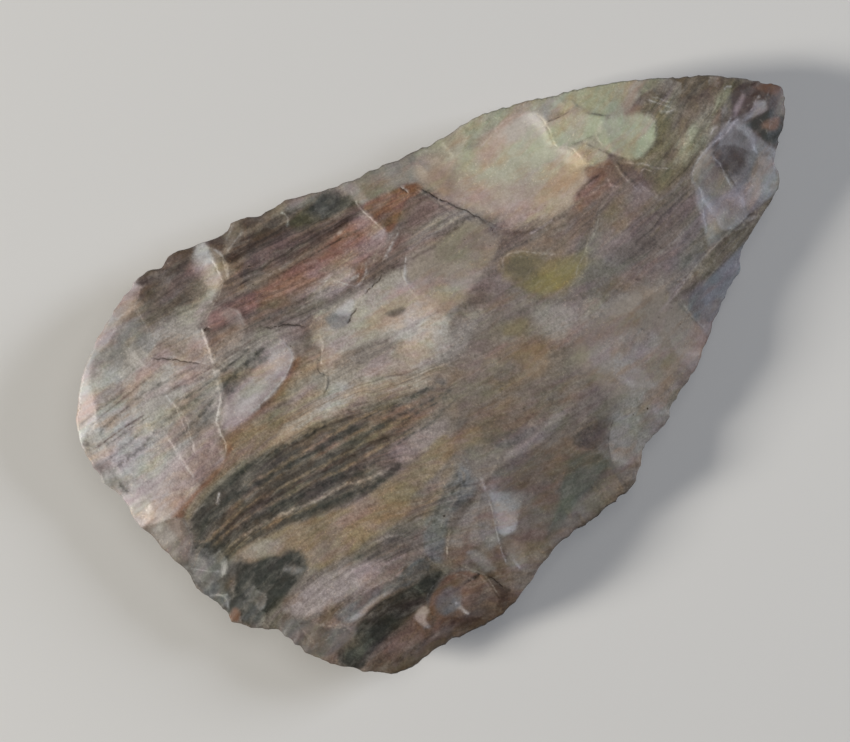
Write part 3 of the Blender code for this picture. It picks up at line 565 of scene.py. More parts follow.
    "tip_bark bark 1 3 0.1 920,25 928,35 941,56 965,56 1010,18 983,-7 964,-27 950,-34 941,-21 937,-4 "
    "933,14",
    # Painted pinkish highlight on the upper facets of the tip
    "tip_blush blush 0.65 3 0 -60 925,29 936,40 953,46 950,37 933,27",
    "tip_foot umber 0.9 6 0.1 941,-5 962,24 997,29 998,18 981,-11 958,-35 944,-34",
    # Painted bluish highlight on the bulge at the tip
    "tip_bulge ice 0.9 2 0 934,18 952,23 960,28 969,25 971,19 964,12 952,14",
    "tip_shadow moss 1 3 0 934,12 971,9 971,2 976,-8 964,-25 950,-31 942,-18 939,-2",
    "tip_rust rust 0.8 3 0.1 949,0 973,-2 975,-8 958,-14",
    "tip_facet sage 0.65 3 0 973,5 1001,21 993,5 983,-7 976,-4",
    "tip_rim rust 0.5 3 0 971,46 997,35 1001,23 989,20 979,30",
    "under_ridge khaki 0.7 3 0.6 799,-92 847,-86 914,-81 888,-91 859,-105 818,-115 780,-114 728,-118 "
    "728,-110",
    # The facet of the lower edge, with the sheen of the bluish lamp painted into its colour
    "edge_facet mist 1 3 0.1 734,-155 741,-124 780,-118 837,-110 845,-113 824,-139 767,-171 741,-182",
    "edge_shade slate 0.4 4 0.2 730,-120 767,-118 762,-133 744,-150 734,-142",
    "flank_light bone 0.55 16 0.2 575,-187 620,-174 652,-200 652,-225 613,-241 569,-238 550,-219",
)

# Thin beds and scratches, and painted highlights where ridges, hinge walls, rims and ripples catch
# the light: name, colour, strength, half width in hundredths of a millimetre, line
LINES = (
    "bed_a plum 0.77 16 22,191 51,194 83,196 121,197 160,195",
    "bed_b ash 0.68 22 19,176 58,182 102,186 141,182 166,177 195,168",
    "bed_c plum 1 16 13,166 45,166 77,165 105,163",
    "bed_d ash 0.68 16 29,160 70,160 105,158",
    "bed_e plum 0.85 16 125,170 166,166 204,160 249,159 275,158",
    "bed_f ash 0.94 20 134,152 166,148 198,147 230,150 265,150",
    "bed_g slate 0.77 34 8,131 45,131 77,134 105,140 128,142 160,140 192,138",
    "bed_h ash 1 34 105,117 137,117 166,123 195,131 224,136 256,140 284,142",
    "bed_i slate 0.85 34 131,106 166,113 188,121",
    "bed_j frost 0.25 18 19,170 51,170 89,168",
    "bed_k frost 0.22 22 137,184 166,182 195,177",
    "bed_l ochre 0.5 20 133,152 139,154 146,155",
    "bed_m rust 0.3 16 45,48 77,55 109,58",
    "bed_n slate 0.7 20 13,200 45,203 77,202 102,204",
    "bed_o ash 0.5 18 121,170 160,163 192,156",
    "bed_p slate 0.6 22 13,145 51,147 89,148 121,148",
    "base_ripple frost 0.45 12 132,176 134,161 134,145 130,129 126,113 118,97",
    "base_ripple_b frost 0.3 12 100,133 102,113 99,88 101,62",
    "left_spot umber 1 28 8,179 12,179 17,177",
    "left_spot_b slate 0.91 55 14,111 19,106 17,97",
    "bevel_ridge frost 0.61 15 17,186 37,190 47,204 54,218 70,248",
    "bevel_ridge_b frost 0.36 14 112,265 127,273 142,283 166,283 176,290 189,303",
    "bevel_ridge_c frost 0.29 12 169,283 166,267 161,241",
    "tongue_end frost 0.36 14 288,142 295,129 295,115 285,104",
    "tongue_rim frost 0.5 16 294,113 281,102 256,92 227,87 198,84",
    "tongue_bed_a slate 0.85 40 188,117 217,125 249,130 277,131",
    "tongue_bed_b slate 0.3 22 185,99 224,110 262,116",
    "field_end ash 0.85 13 327,93 313,85 309,75 314,65 307,55 293,48",
    "corner_dark umber 1 24 220,205 226,202 235,202",
    "crack_mate frost 0.25 12 157,214 168,203 184,185 202,165",
    "hook frost 0.54 14 387,272 391,263 387,254 382,250",
    "notch_a frost 0.2 12 297,268 319,275 336,280",
    "notch_b frost 0.2 12 309,283 319,288 332,296",
    "facet_line frost 0.36 13 289,287 295,270 292,253 281,237",
    "red_a umber 0.7 22 281,235 332,235 383,230 422,223 473,214",
    "red_b bone 0.35 22 288,227 332,226 371,221 409,217",
    "red_c bone 0.4 24 294,218 332,213 371,209",
    "red_d umber 0.78 18 256,218 294,212 332,207 383,202 435,196 466,190",
    "red_e umber 0.45 16 332,230 383,225 435,216",
    "red_f plum 0.59 22 230,195 281,185 332,177 383,170",
    "red_g umber 0.39 14 275,202 332,195 390,189",
    "red_ring frost 0.36 12 428,202 432,204 436,201",
    "under_a ash 0.59 24 256,177 307,167 358,159 390,152",
    "under_b ash 0.45 20 294,156 332,152 371,144 415,134",
    "under_c bone 0.4 20 307,161 339,154 371,150",
    "under_d umber 0.59 22 447,130 486,123 524,119 572,122",
    "under_e umber 0.45 16 460,150 505,149 553,148",
    "under_f bone 0.35 18 486,135 524,133 562,131",
    "foot_light frost 0.4 15 373,171 381,165 392,158 404,142 414,136 429,142 441,158",
    "foot_light_b frost 0.35 16 452,140 466,147 481,154 495,161",
    "foot_light_c ivory 0.43 16 330,126 344,133 359,136",
    "foot_dot frost 0.65 24 415,149 419,144",
    "rust_dash frost 0.58 13 530,207 532,200 534,193",
    "cream_mate chalk 0.55 14 542,198 553,168 565,147 580,129 583,106",
    "cream_fork slate 0.59 14 554,170 557,150 565,133 580,113",
    "centre_tick frost 0.54 16 484,131 475,120 466,109 465,99",
    "beige_edge blush 0.5 18 466,99 472,81 479,61",
    "cream_top ivory 0.36 14 636,188 658,190 677,196 709,195",
    "side_a umber 0.59 13 728,164 751,159 768,158",
    "side_b umber 0.39 13 727,124 751,118 770,113",
    "side_c ash 0.78 14 775,145 792,128 802,122",
    "side_dot umber 1 20 802,145 804,143",
    "oval_light ivory 0.54 22 773,112 780,120 786,124",
    "oval_edge umber 0.45 18 749,115 760,97 768,81 781,64",
    "oval_rim ivory 0.29 18 838,99 842,88 831,74 817,62",
    "arc_light chalk 0.5 14 750,46 724,37 712,32 696,16 673,4 645,-12 643,-22",
    "spot_light chalk 0.65 13 569,43 583,56 602,50 620,34 642,16",
    "mauve_a umber 0.65 26 604,78 627,62 668,57",
    "mauve_b blush 0.55 16 623,61 642,58 661,58",
    "mauve_c umber 0.52 26 604,61 633,50 671,46 709,48 767,54",
    "mauve_d plum 0.65 20 617,46 655,39 696,39 735,43",
    "mauve_e bone 0.35 20 677,56 716,57 744,55",
    "mauve_f rust 0.45 40 690,50 719,50 751,53",
    "mauve_g umber 0.78 22 700,62 717,69 732,70 748,66",
    "stroke_a bone 0.6 14 765,76 764,50 767,32 773,16",
    "stroke_b bone 0.55 14 774,37 778,18 784,0",
    "stroke_c frost 0.43 12 747,61 744,51 751,42",
    "stroke_d bone 0.7 12 771,69 786,54 794,48 805,34 823,21",
    "stroke_e bone 0.6 12 780,35 790,43 800,28",
    "stroke_f umber 0.65 14 769,72 768,50 771,32",
    "feather_a frost 0.47 12 849,113 859,98 868,84",
    "feather_b frost 0.4 12 855,113 864,101 873,89",
    "feather_c frost 0.36 12 852,92 861,84 869,81",
    "tip_a umber 0.52 30 812,55 850,62 895,73 936,80",
    "tip_b ochre 0.45 30 831,24 869,32 907,41 933,48",
    "tip_c ash 0.45 22 834,72 869,79 907,87 928,89",
    "tip_d straw 0.45 26 859,46 895,52 930,58",
    "tip_e umber 0.39 18 805,38 843,46 882,57",
    "tip_f fawn 0.4 22 799,30 837,38 869,44",
    "tip_g fawn 0.4 18 869,89 901,96 920,94",
    "tip_h frost 0.36 14 885,28 895,32 902,30",
    "tip_i frost 0.43 13 936,65 942,66 948,62",
    "tip_j frost 0.36 14 933,23 952,24 962,30 971,33",
    "blue_ridge frost 0.43 15 833,-3 845,7 864,15 882,18 904,18 923,24 934,20",
    "blue_orange ochre 0.6 18 866,-2 877,2 887,5",
    "blue_dark umber 0.78 18 874,-11 876,-27 875,-46",
    "right_a plum 0.78 40 725,-16 771,-12 831,-8",
    "right_b tan 0.7 20 744,-32 773,-28 799,-22 834,-12",
    "right_c umber 0.39 26 728,-40 773,-35 818,-28",
    "right_d bone 0.35 18 735,-56 767,-54 799,-50",
    "lower_light chalk 0.75 14 690,-117 724,-111 748,-104 773,-96 799,-91 818,-88 847,-85",
    "lower_dark umber 0.72 18 799,-94 843,-88 875,-83 911,-82",
    "lower_b chalk 0.5 14 751,-124 780,-117 805,-112 834,-104 869,-92",
    "lower_c umber 0.52 14 805,-103 837,-96 882,-87",
    "side_line slate 0.65 14 728,-118 731,-142 739,-171",
    "flank_dark umber 0.65 15 578,-188 561,-202 550,-216 542,-233",
    "band_a tan 1 23 46,-3 63,-12 80,-11 112,-8 144,-8 166,-12 192,-15 224,-19 256,-24 281,-28 313,-30 "
    "358,-34 415,-41",
    "band_b tan 0.92 24 139,18 166,13 192,9 217,7 243,4 272,3 304,0 335,-5 371,-13",
    "band_c tan 0.98 22 56,-23 80,-21 102,-19 128,-19 153,-21 179,-25 204,-29 230,-34 256,-40 281,-43 "
    "307,-46 332,-48 358,-53 387,-57",
    "band_d chalk 0.8 20 69,-38 96,-35 121,-36 147,-39 173,-44 198,-50 224,-56 249,-58 275,-68 300,-73 "
    "326,-75",
    "band_e tan 0.8 19 70,-43 102,-41 134,-42 166,-48 192,-54 212,-58",
    "band_f chalk 0.57 27 185,30 230,27 262,21 307,14 358,2 409,-18",
    "band_g tan 0.52 19 102,0 141,4 179,1 217,-4 256,-8 294,-13",
    "band_h fawn 0.57 30 230,-8 268,-13 307,-17 358,-21",
    "dark_a moss 1 50 64,6 96,10 121,13 147,12 173,7 204,4 236,-1 268,-4 300,-7 332,-12",
    "dark_b umber 0.98 26 80,-16 112,-14 144,-14 179,-19 211,-23 243,-27 275,-32 307,-36 339,-41 377,-41",
    "dark_c moss 1 52 43,-18 64,-29 89,-28 121,-28 153,-30 185,-34 217,-40 243,-46 268,-52 294,-57 323,-58",
    "dark_d moss 1 34 160,-50 192,-58 217,-65 243,-70 268,-77 294,-81 323,-80",
    "dark_e moss 0.98 26 112,25 141,29 173,33 204,28 236,23 262,19 291,14",
    "dark_f ash 0.95 20 332,-11 371,-18 415,-22",
    "dark_g ash 0.98 18 351,-35 390,-40 431,-46",
    "dark_h ash 0.9 20 326,-55 358,-56 383,-59 412,-55",
    "dark_j ash 0.9 22 265,-11 307,-21 358,-28 409,-37 440,-41",
    "dark_k ash 0.8 16 294,1 332,-7 383,-16 422,-22",
    "dark_l rust 0.5 24 230,-7 281,-12 332,-19 383,-25 422,-30",
    "dark_m ash 0.7 14 275,-46 319,-49 371,-50 415,-54 436,-50",
    "dark_i slate 0.65 60 409,-21 422,-25 432,-30",
    "band_mark frost 0.61 15 102,17 109,22 116,28",
    "tan_foot chalk 0.4 20 323,-77 358,-81 396,-77",
    "rim_a frost 0.36 12 18,-19 38,-40 61,-59",
    "rim_b frost 0.43 12 24,-72 36,-78 47,-85",
    "rim_c frost 0.36 12 33,-104 41,-86 31,-73",
    "belly_a blush 0.55 14 230,-169 249,-172 265,-175",
    "belly_b blush 0.5 18 155,-184 183,-182 209,-185 230,-189 252,-188",
    "belly_c ash 0.59 20 198,-141 236,-147 275,-150",
    "belly_d bone 0.4 16 230,-137 256,-143 281,-156",
    "belly_e plum 0.65 20 243,-160 281,-165 319,-158",
    "swirl_a ash 0.72 26 383,-128 351,-139 329,-152 307,-168",
    "swirl_b moss 0.98 22 351,-145 365,-143 380,-142",
    "swirl_c bone 0.35 16 383,-154 351,-156 323,-169 304,-184",
    "swirl_d fawn 0.6 16 378,-120 381,-133 376,-143",
    "bowl_rib fern 0.7 20 245,-211 249,-222 248,-235",
    "bowl_flash frost 0.68 20 276,-261 277,-274 281,-287",
    "bowl_flash_b ice 0.5 34 276,-241 277,-254 277,-264",
    "bowl_rim rust 0.8 18 300,-232 311,-240 319,-249 325,-259",
    "bowl_rim_b bone 0.5 12 304,-230 314,-238 323,-248",
    "bowl_rim_c rust 0.7 18 244,-267 245,-251 256,-240 270,-233",
    "corner_a bone 0.35 13 96,-168 98,-182 100,-195 93,-205",
    "corner_b bone 0.45 13 111,-178 125,-191 142,-200 150,-218",
    "corner_c umber 0.65 14 97,-166 109,-174 115,-170",
    "mass_edge chalk 0.8 14 391,-169 386,-187 377,-204 371,-220 364,-238",
    "wall_line frost 0.4 14 396,-150 393,-161 391,-171",
    "centre_a plum 0.65 28 454,-112 477,-121 494,-125 524,-131 553,-136",
    "centre_b umber 0.45 20 383,-90 409,-87 435,-81",
    "centre_c bone 0.4 16 393,-142 390,-152 393,-165",
    "speck_a umber 1 20 668,-119 673,-122",
    "speck_b umber 1 16 673,-127 676,-131",
    "speck_c umber 1 18 700,-62 705,-70",
    "speck_d umber 1 16 696,-120 699,-122",
    "speck_e moss 0.78 34 523,-145 529,-142",
    "speck_f slate 0.91 34 575,-124 579,-120",
)

# Hinge walls and small steps where a flake broke off short: name, height in hundredths of a
# millimetre, low side seen along the line (1 left, -1 right), line
CRESTS = (
    "sweep_hinge 22 -1 204,165 198,145 188,123 166,101 157,69 137,53",
    "sweep_ripple_a 12 -1 131,165 137,133 128,107 118,81",
    "sweep_ripple_b 9 -1 105,139 102,101 100,53",
    "sweep_foot 22 -1 6,50 29,42 54,34 83,42",
    "shoulder_ridge 10 1 188,302 166,280 164,248 160,235",
    "spoon_wall 40 -1 287,302 284,283 281,267 277,244 270,235 256,227 236,218 220,211",
    "spoon_corner 40 -1 221,212 217,200 213,184 205,162",
    "spoon_side_wall 18 -1 291,289 293,267 284,241",
    "notch_facet 16 1 307,289 323,273 342,294",
    "red_wall 34 -1 466,254 476,241 472,219 481,168",
    "red_foot_a 18 1 415,129 450,152 466,161 486,165",
    "red_foot_b 20 1 372,170 396,158 415,145 431,152 435,159",
    "red_foot_c 14 1 377,123 396,117 422,129 460,129",
    "red_foot_d 14 1 422,152 460,147 486,158 502,163",
    "tongue_end 10 1 281,152 294,136 294,113 275,99 230,88",
    "ochre_end 14 -1 342,126 332,101 319,85 312,65 294,50",
    "beige_left 18 -1 484,129 466,113 463,81 479,56",
    "cream_left 32 1 545,200 556,168 572,142 585,117 597,91 620,75",
    "cream_right 38 -1 709,193 723,184 728,165 723,142 721,131 735,117 735,88",
    "cream_top 14 -1 587,216 613,206 636,187 671,195 709,195",
    "cream_side_a 14 1 728,163 748,166 767,160",
    "cream_side_b 16 1 721,131 741,117 767,117",
    "cream_foot 12 1 735,88 751,75 764,69",
    "oval_left 20 -1 778,125 770,117 767,97 773,81 786,62",
    "oval_right 10 1 834,112 842,88 827,62",
    "mauve_arc 15 -1 744,69 728,50 709,37 693,19 677,10 658,-13 642,-18",
    "olive_arc 10 1 562,43 572,53 585,56 604,40 623,24 639,14",
    "blue_top 16 -1 829,-11 837,4 856,12 888,18 920,29 936,25",
    "blue_left 20 1 829,-11 834,-22 821,-46 808,-72",
    "blue_inner 16 1 872,11 874,-11 869,-46",
    "blue_fold 14 1 939,24 952,5 946,-21 933,-46",
    "lower_ridge 22 -1 696,-118 735,-104 773,-94 805,-90 837,-85 907,-81",
    "lower_ridge_b 12 -1 751,-120 799,-104 850,-90",
    "side_line 12 1 732,-110 735,-149 741,-174",
    "flank_line 14 -1 578,-184 562,-200 550,-219 545,-227",
    "low_left 28 1 390,-168 383,-193 376,-209 364,-238 355,-270",
    "low_left_top 12 1 396,-110 390,-142 390,-168",
    "low_top 10 -1 390,-110 415,-117 447,-133 486,-139 530,-149",
    "reddish_left 32 -1 332,-174 307,-200 304,-212 313,-232 326,-257 325,-296",
    "orange_rim 18 -1 243,-248 256,-232 281,-227 300,-235 323,-270",
    "olive_top 22 -1 121,-193 144,-184 179,-182 230,-187 275,-188 288,-219",
    "corner_a 18 -1 96,-174 99,-200 128,-206",
    "corner_b 16 -1 109,-174 131,-196 150,-219",
    "left_mid 14 1 10,46 35,43 56,24 50,-2 32,-21",
    "band_top 10 1 56,30 80,27 112,25 118,32",
    "tip_a 12 -1 927,37 952,30 971,37",
    "tip_b 14 -1 936,24 962,18 984,30",
    "tip_c 14 1 946,-21 962,-2 978,-2 997,18",
    "tip_upper_a 10 1 838,126 859,120 882,123",
    "tip_upper_b 10 -1 853,101 859,85 872,81",
    "base_chip_a 14 1 16,-27 29,-46 26,-72",
    "base_chip_b 14 1 35,-81 48,-91 64,-72",
    "base_chip_c 14 -1 70,-155 89,-168 105,-171",
)

# Fine cracks and bruised strokes
CRACKS = (
    "spoon 142,219 148,214 166,200 182,184 199,167",
    "cream 545,198 559,166 572,142 585,117 589,97",
    "red_mark 529,206 533,193",
    "under_red 281,166 294,156 307,150 319,141 332,128",
    "red_foot 411,121 430,124 447,129",
    "chalk 372,104 385,109 397,115",
    "sweep_corner 220,207 230,202",
    "mass 330,-257 334,-273 336,-286",
)

# Way the beds of the stone run, seen from above: thousandths of the length from the base, and the
# fall of a bed there below its level at the base
UPPER_BEDS = (
    (-20, 0), (0, 2), (90, 8), (170, 12), (230, 19), (330, 36), (490, 58), (610, 72), (740, 71),
    (805, 60), (870, 40), (935, 20), (1020, -5),
)
LOWER_BEDS = (
    (-20, 28), (20, 24), (58, 14), (100, 3), (166, -3), (230, 0), (294, 12), (358, 32), (420, 54),
    (490, 70), (610, 82), (740, 80), (840, 66), (935, 40), (1020, 15),
)
BEDS_MEET = (20, 70)

# Waves of the beds: height, length and seed, and how far they are drawn out along the beds
BED_WAVES = ((2.6, 60.0, 21), (0.9, 15.0, 22))
BED_DRAW = 3.0

# The beds in the material: how far its streaks and patches are drawn out along them, and how much of
# the depth its patterns follow; and the streaks of stone that no zone covers
STREAK_DRAW = 30.0
PATCH_DRAW = 2.5
FLATNESS = 0.25
GROUND_STREAKS = 0.25

# Lamps: colour, direction and height in degrees, distance and side in metres
LAMPS = {
    "key": ("#fffcf6", 155.0, 25.0, 1.10, 0.28),
    "fill": ("#eaf1ff", -15.0, 22.0, 1.10, 0.40),
    "top": ("#ffffff", 20.0, 70.0, 1.00, 0.60),
}
WORLD_COLOUR = "#f2f4f8"
WORLD_STRENGTH = 0.05
FLOOR_ROUGHNESS = 0.9

# What the camera looks at, in lengths of the blade from its middle
VIEW_MIDDLE = (-0.0824, -0.0013)
NEAREST_VIEW = 0.01

# Colour zones of the underside, plainer than the upper face
UNDER_ZONES = (
    "under_grey bone 0.7 34 0.3 -20,-120 150,-60 260,60 240,340 -20,340",
    "under_red salmon 0.45 30 0.8 250,120 520,60 560,130 300,220",
    "under_bands ash 0.7 14 0.9 80,-160 420,-90 520,-20 300,20 90,-60",
    "under_cream fawn 0.5 34 0.3 600,40 820,20 900,110 640,220",
    "under_mauve mauve 0.7 20 0.7 420,-200 900,-110 900,10 430,-20",
    "under_steel steel 0.7 16 0.2 150,-330 480,-320 470,-190 180,-180",
    "under_tan tan 0.7 16 0.2 60,-200 180,-190 330,-150 300,-90 90,-150",
    "under_tip bark 0.8 12 0.3 940,-60 1020,-60 1020,80 940,80",
)

# Colours of the stone and of its painted light and shade: name, what it is, sRGB
PALETTE = (
    ("stone", "Grey mauve ground of the stone", "#716860"),
    ("bone", "Light grey beige of the base", "#9e9994"),
    # White for the painted highlights on bevels, ridges and walls that face the lamps, and a lighter tone
    # for some fresh flakes
    ("frost", "White of the sharpest bevels and walls", "#c8c8c8"),
    # Bluish white of pale patches, used mostly for painted highlights and sheen on bevels and facets
    ("pearl", "Bluish white of the paler bevels", "#adafaf"),
    ("blush", "Pinkish white", "#a69b9c"),
    # Dark grey of the stone, used also for the painted shade in hollows and on facets turned from the lamps
    ("slate", "Dark grey of the hollow at the shoulder", "#605e5b"),
    ("ash", "Darkest grey of the thin beds", "#43423e"),
    ("umber", "Dark brown along the upper edge", "#3e3029"),
    ("olive", "Dark olive shadow in the red band", "#484332"),
    ("plum", "Mauve brown streaks", "#5f4f4b"),
    ("salmon", "Salmon red of the red band", "#7f5c55"),
    ("rust", "Iron red", "#74513d"),
    ("sage", "Greenish grey", "#767364"),
    ("fern", "Darker greenish grey", "#5c5f55"),
    ("peach", "Peach at the edge of the cream", "#a99a89"),
    # Painted highlight along the rims of the cream facet
    ("ivory", "Near white rim of the cream facet", "#cfcfb8"),
    ("cream", "Yellowish cream", "#b3b29b"),
    ("straw", "Greenish cream beside the tip", "#a3a891"),
    ("khaki", "Brown olive bands at the tip", "#68604c"),
    ("mustard", "Mustard spot in the middle", "#7c6d3a"),
    ("fawn", "Grey beige facet", "#887d70"),
    ("chalk", "Cream white in the middle", "#9d968b"),
    ("ochre", "Orange brown strip", "#84705a"),
    ("tan", "Tan below the dark bands", "#7d6f5b"),
    ("moss", "Dark green grey", "#2c2e29"),
    ("loam", "Dark brown of the lower rim", "#57493a"),
    ("steel", "Bluish grey near the lower edge", "#686c6f"),
    # Grey of the facets towards the tip, with the sheen of the bluish lamp painted in
    ("ice", "Bluish white facets towards the tip", "#86878b"),
    ("bark", "Red brown of the tip", "#43332b"),
    ("mauve", "Dusky mauve beds of the belly", "#6e6660"),
    # Blue grey of the lower edge facet, with the sheen of the bluish lamp painted in
    ("mist", "Pale blue grey facet of the lower edge", "#767a7d"),
)


def linear(colour):
    """Turn an sRGB hex colour into linear red, green and blue."""
    levels = [int(colour[i:i + 2], 16) / 255.0 for i in (1, 3, 5)]
    return [v / 12.92 if v <= 0.04045 else ((v + 0.055) / 1.055) ** 2.4 for v in levels]


def swell(x, y, wave, seed):
    """Soft unevenness between about -1 and 1, about one wavelength from bump to bump."""
    rng = random.Random(seed)
    total = np.zeros_like(x)
    for _ in range(SWELL_WAVES):
        turn = rng.uniform(0.0, math.pi)
        pitch = wave * rng.uniform(*SWELL_SPREAD) / (2.0 * math.pi)
        shift = rng.uniform(0.0, 2.0 * math.pi)
        total += np.sin((x * math.cos(turn) + y * math.sin(turn)) / pitch + shift)
    return total / math.sqrt(SWELL_WAVES)


def eased(value):
    """Ease from 0 to 1 as a value goes from 0 to 1."""
    value = np.clip(value, 0.0, 1.0)
    return value * value * (3.0 - 2.0 * value)


def spline(stations, steps, closed):
    """Smooth curve (Catmull-Rom) through stations on the plan, in steps from one to the next."""
    stations = np.asarray(stations, dtype=float)
    if closed:
        before, start = np.roll(stations, 1, 0), stations
        finish, after = np.roll(stations, -1, 0), np.roll(stations, -2, 0)
    else:
        first = 2.0 * stations[0] - stations[1]
        last = 2.0 * stations[-1] - stations[-2]
        whole = np.vstack([first, stations, last])
        before, start, finish, after = whole[:-3], whole[1:-2], whole[2:-1], whole[3:]
    curve = []
    for step in range(steps):
        t = step / steps
        bend = 2.0 * before - 5.0 * start + 4.0 * finish - after
        twist = 3.0 * start - before - 3.0 * finish + after
        curve.append(start + 0.5 * t * ((finish - before) + t * (bend + t * twist)))
    curve = np.stack(curve, axis=1).reshape(-1, 2)
    return curve if closed else np.vstack([curve, stations[-1:]])


def tapered(share, reach):
    """Fade a line out over a share of its length at both ends."""
    return eased(share / reach) * eased((1.0 - share) / reach)


def hundredths(value):
    """Turn hundredths of a millimetre into metres."""
    return value * 0.01 * MM


def read_row(row):
    """Words of a table row, its numbers and its points."""
    names = [word for word in row.split() if word[0].isalpha()]
    numbers = [float(word) for word in row.split() if not word[0].isalpha() and "," not in word]
    points = [tuple(float(value) for value in word.split(",")) for word in row.split() if "," in word]
    return names, numbers, points


def spread(line, pitch):
    """Points at an even pitch along a line."""
    lengths = np.hypot(*np.diff(line, axis=0).T)
    along = np.concatenate([[0.0], np.cumsum(lengths)])
    count = max(2, int(round(along[-1] / pitch)) + 1)
    marks = np.linspace(0.0, along[-1], count)
    return np.stack([np.interp(marks, along, line[:, i]) for i in (0, 1)], axis=1)


def on_plan(points):
    """Turn thousandths of the length, counted from the base, into metres from the middle."""
    points = np.asarray(points, dtype=float) / PER_LENGTH
    return (points - (0.5, 0.0)) * BLADE_LENGTH


def course(points, pitch):
    """A line of a table on the plan, smoothed, with its points at an even pitch."""
    return spread(spline(on_plan(points), COURSE_STEPS, False), pitch)


def astray(line, stray, wave, seeds):
    """Lead a line a little astray, as stone breaks."""
    return line + np.stack([stray * swell(line[:, 0], line[:, 1], wave, seed) for seed in seeds], axis=1)


def beside_line(x, y, line):
    """Distance off a line, positive on its left, and the share of its length passed there."""
    best = np.full(x.shape, np.inf)
    off = np.zeros_like(x)
    share = np.zeros_like(x)
    for i in range(len(line) - 1):
        (ax, ay), (bx, by) = line[i], line[i + 1]
        dx, dy = bx - ax, by - ay
        run = math.hypot(dx, dy)
        t = np.clip(((x - ax) * dx + (y - ay) * dy) / run ** 2, 0.0, 1.0)
        gap = np.hypot(x - ax - t * dx, y - ay - t * dy)
        side = np.sign(dx * (y - ay) - dy * (x - ax))
        nearer = gap < best
        best = np.where(nearer, gap, best)
        off = np.where(nearer, gap * side, off)
        share = np.where(nearer, (i + t) / (len(line) - 1), share)
    return off, share


def inside_outline(x, y, outline):
    """Distance inside a closed outline on the plan, negative outside."""
    gap = np.full(x.shape, np.inf)
    within = np.zeros(x.shape, dtype=bool)
    for i in range(len(outline)):
        (ax, ay), (bx, by) = outline[i - 1], outline[i]
        dx, dy = bx - ax, by - ay
        t = np.clip(((x - ax) * dx + (y - ay) * dy) / (dx * dx + dy * dy), 0.0, 1.0)
        gap = np.minimum(gap, np.hypot(x - ax - t * dx, y - ay - t * dy))
        crosses = (ay > y) != (by > y)
        within ^= crosses & (x < ax + (y - ay) * dx / (dy if dy else 1e-12))
    return np.where(within, gap, -gap)


class Plan:
    """The blade seen from above: its cutting edge, nicked by retouch, and a calm line through it."""

    def __init__(self, sizes, seed):
        stations = np.array(OUTLINE) * (BLADE_LENGTH, HALF_WIDTH) - (0.5 * BLADE_LENGTH, 0.0)
        calm = spline(stations, CALM_STEPS, True)
        for _ in range(CALM_PASSES):
            calm = (np.roll(calm, 1, 0) + 2.0 * calm + np.roll(calm, -1, 0)) / 4.0
        self.calm_turns, self.calm_reach = self.turns_and_reach(calm)
        edge = spline(stations, RIM_STEPS, True)
        gaps = np.hypot(*(np.roll(edge, -1, 0) - edge).T)
        self.along = np.concatenate([[0.0], np.cumsum(gaps)])[:-1]
        self.around = float(gaps.sum())
        self.strikes = self.space_strikes(sizes, seed, edge)
        nick = np.zeros(len(edge))
        for place, breadth, depth in self.strikes:
            off = (self.along - place + self.around / 2.0) % self.around - self.around / 2.0
            nick = np.maximum(nick, depth * (1.0 - (2.0 * off / breadth) ** 2))
        nick += sizes.jag * (1.0 + swell(self.along, np.zeros(len(edge)), JAG_LENGTH, seed + JAG_DRAW))
        length = np.hypot(*edge.T)
        edge = edge * (1.0 - nick / length)[:, None]
        self.edge = np.clip(edge, (BLADE_LOW.x + BOX_MARGIN, BLADE_LOW.y + BOX_MARGIN),
                            (BLADE_HIGH.x - BOX_MARGIN, BLADE_HIGH.y - BOX_MARGIN))
        self.turns, self.reach = self.turns_and_reach(self.edge)

    @staticmethod
    def turns_and_reach(loop):
        """Directions from the middle, in order, and how far off the loop lies in each."""
        turns = np.arctan2(loop[:, 1], loop[:, 0])
        order = np.argsort(turns)
        return turns[order], np.hypot(*loop.T)[order]

    def space_strikes(self, sizes, seed, edge):
        """Places of the small retouch flakes round the edge, with their breadth and nick."""
        rng = random.Random(seed)
        strikes = []
        place = 0.0
        while place < self.around - sizes.retouch_pitch * 0.5:
            spot = edge[np.searchsorted(self.along, place) % len(edge)]
            near_tip = spot[0] > TIP_START * BLADE_LENGTH and spot[1] > 0.0
            pitch = sizes.retouch_pitch * (TIP_PITCH if near_tip else rng.choice(RETOUCH_PITCHES))
            depth = sizes.nick_depth * rng.uniform(*NICK_SPREAD) ** NICK_POWER
            strikes.append((place + pitch * 0.5, pitch * rng.uniform(*BREADTH_SPREAD), depth))
            place += pitch
        return strikes

    def edge_share(self, x, y):
        """How far out points lie, as a share of the edge, their direction, and how far inside it."""
        turn = np.arctan2(y, x)
        far = np.hypot(x, y)
        calm = np.interp(turn, self.calm_turns, self.calm_reach, period=2.0 * math.pi)
        rough = np.interp(turn, self.turns, self.reach, period=2.0 * math.pi)
        share = far / calm
        for _ in range(REACH_PASSES):
            detail = np.clip(1.0 - (1.0 - share) / DETAIL_REACH, 0.0, 1.0)
            share = far / (calm + (rough - calm) * detail)
        return share, turn, rough - far

    def calm_share(self, x, y):
        """Share and direction by the calm line alone, held at the edge outside it."""
        turn = np.arctan2(y, x)
        calm = np.interp(turn, self.calm_turns, self.calm_reach, period=2.0 * math.pi)
        return np.minimum(np.hypot(x, y) / calm, 1.0), turn


def edge_lift(turn, share):
    """Rise and fall of the cutting edge around the blade, fading out towards the middle."""
    wave = sum(np.sin(turns * turn + start) for turns, start in EDGE_WAVE_TURNS)
    fade = np.clip((share - REST_SHARE) / (1.0 - REST_SHARE), 0.0, None)
    return EDGE_WAVE * (UPPER_RISE + UNDER_DEPTH) * wave * fade ** 2


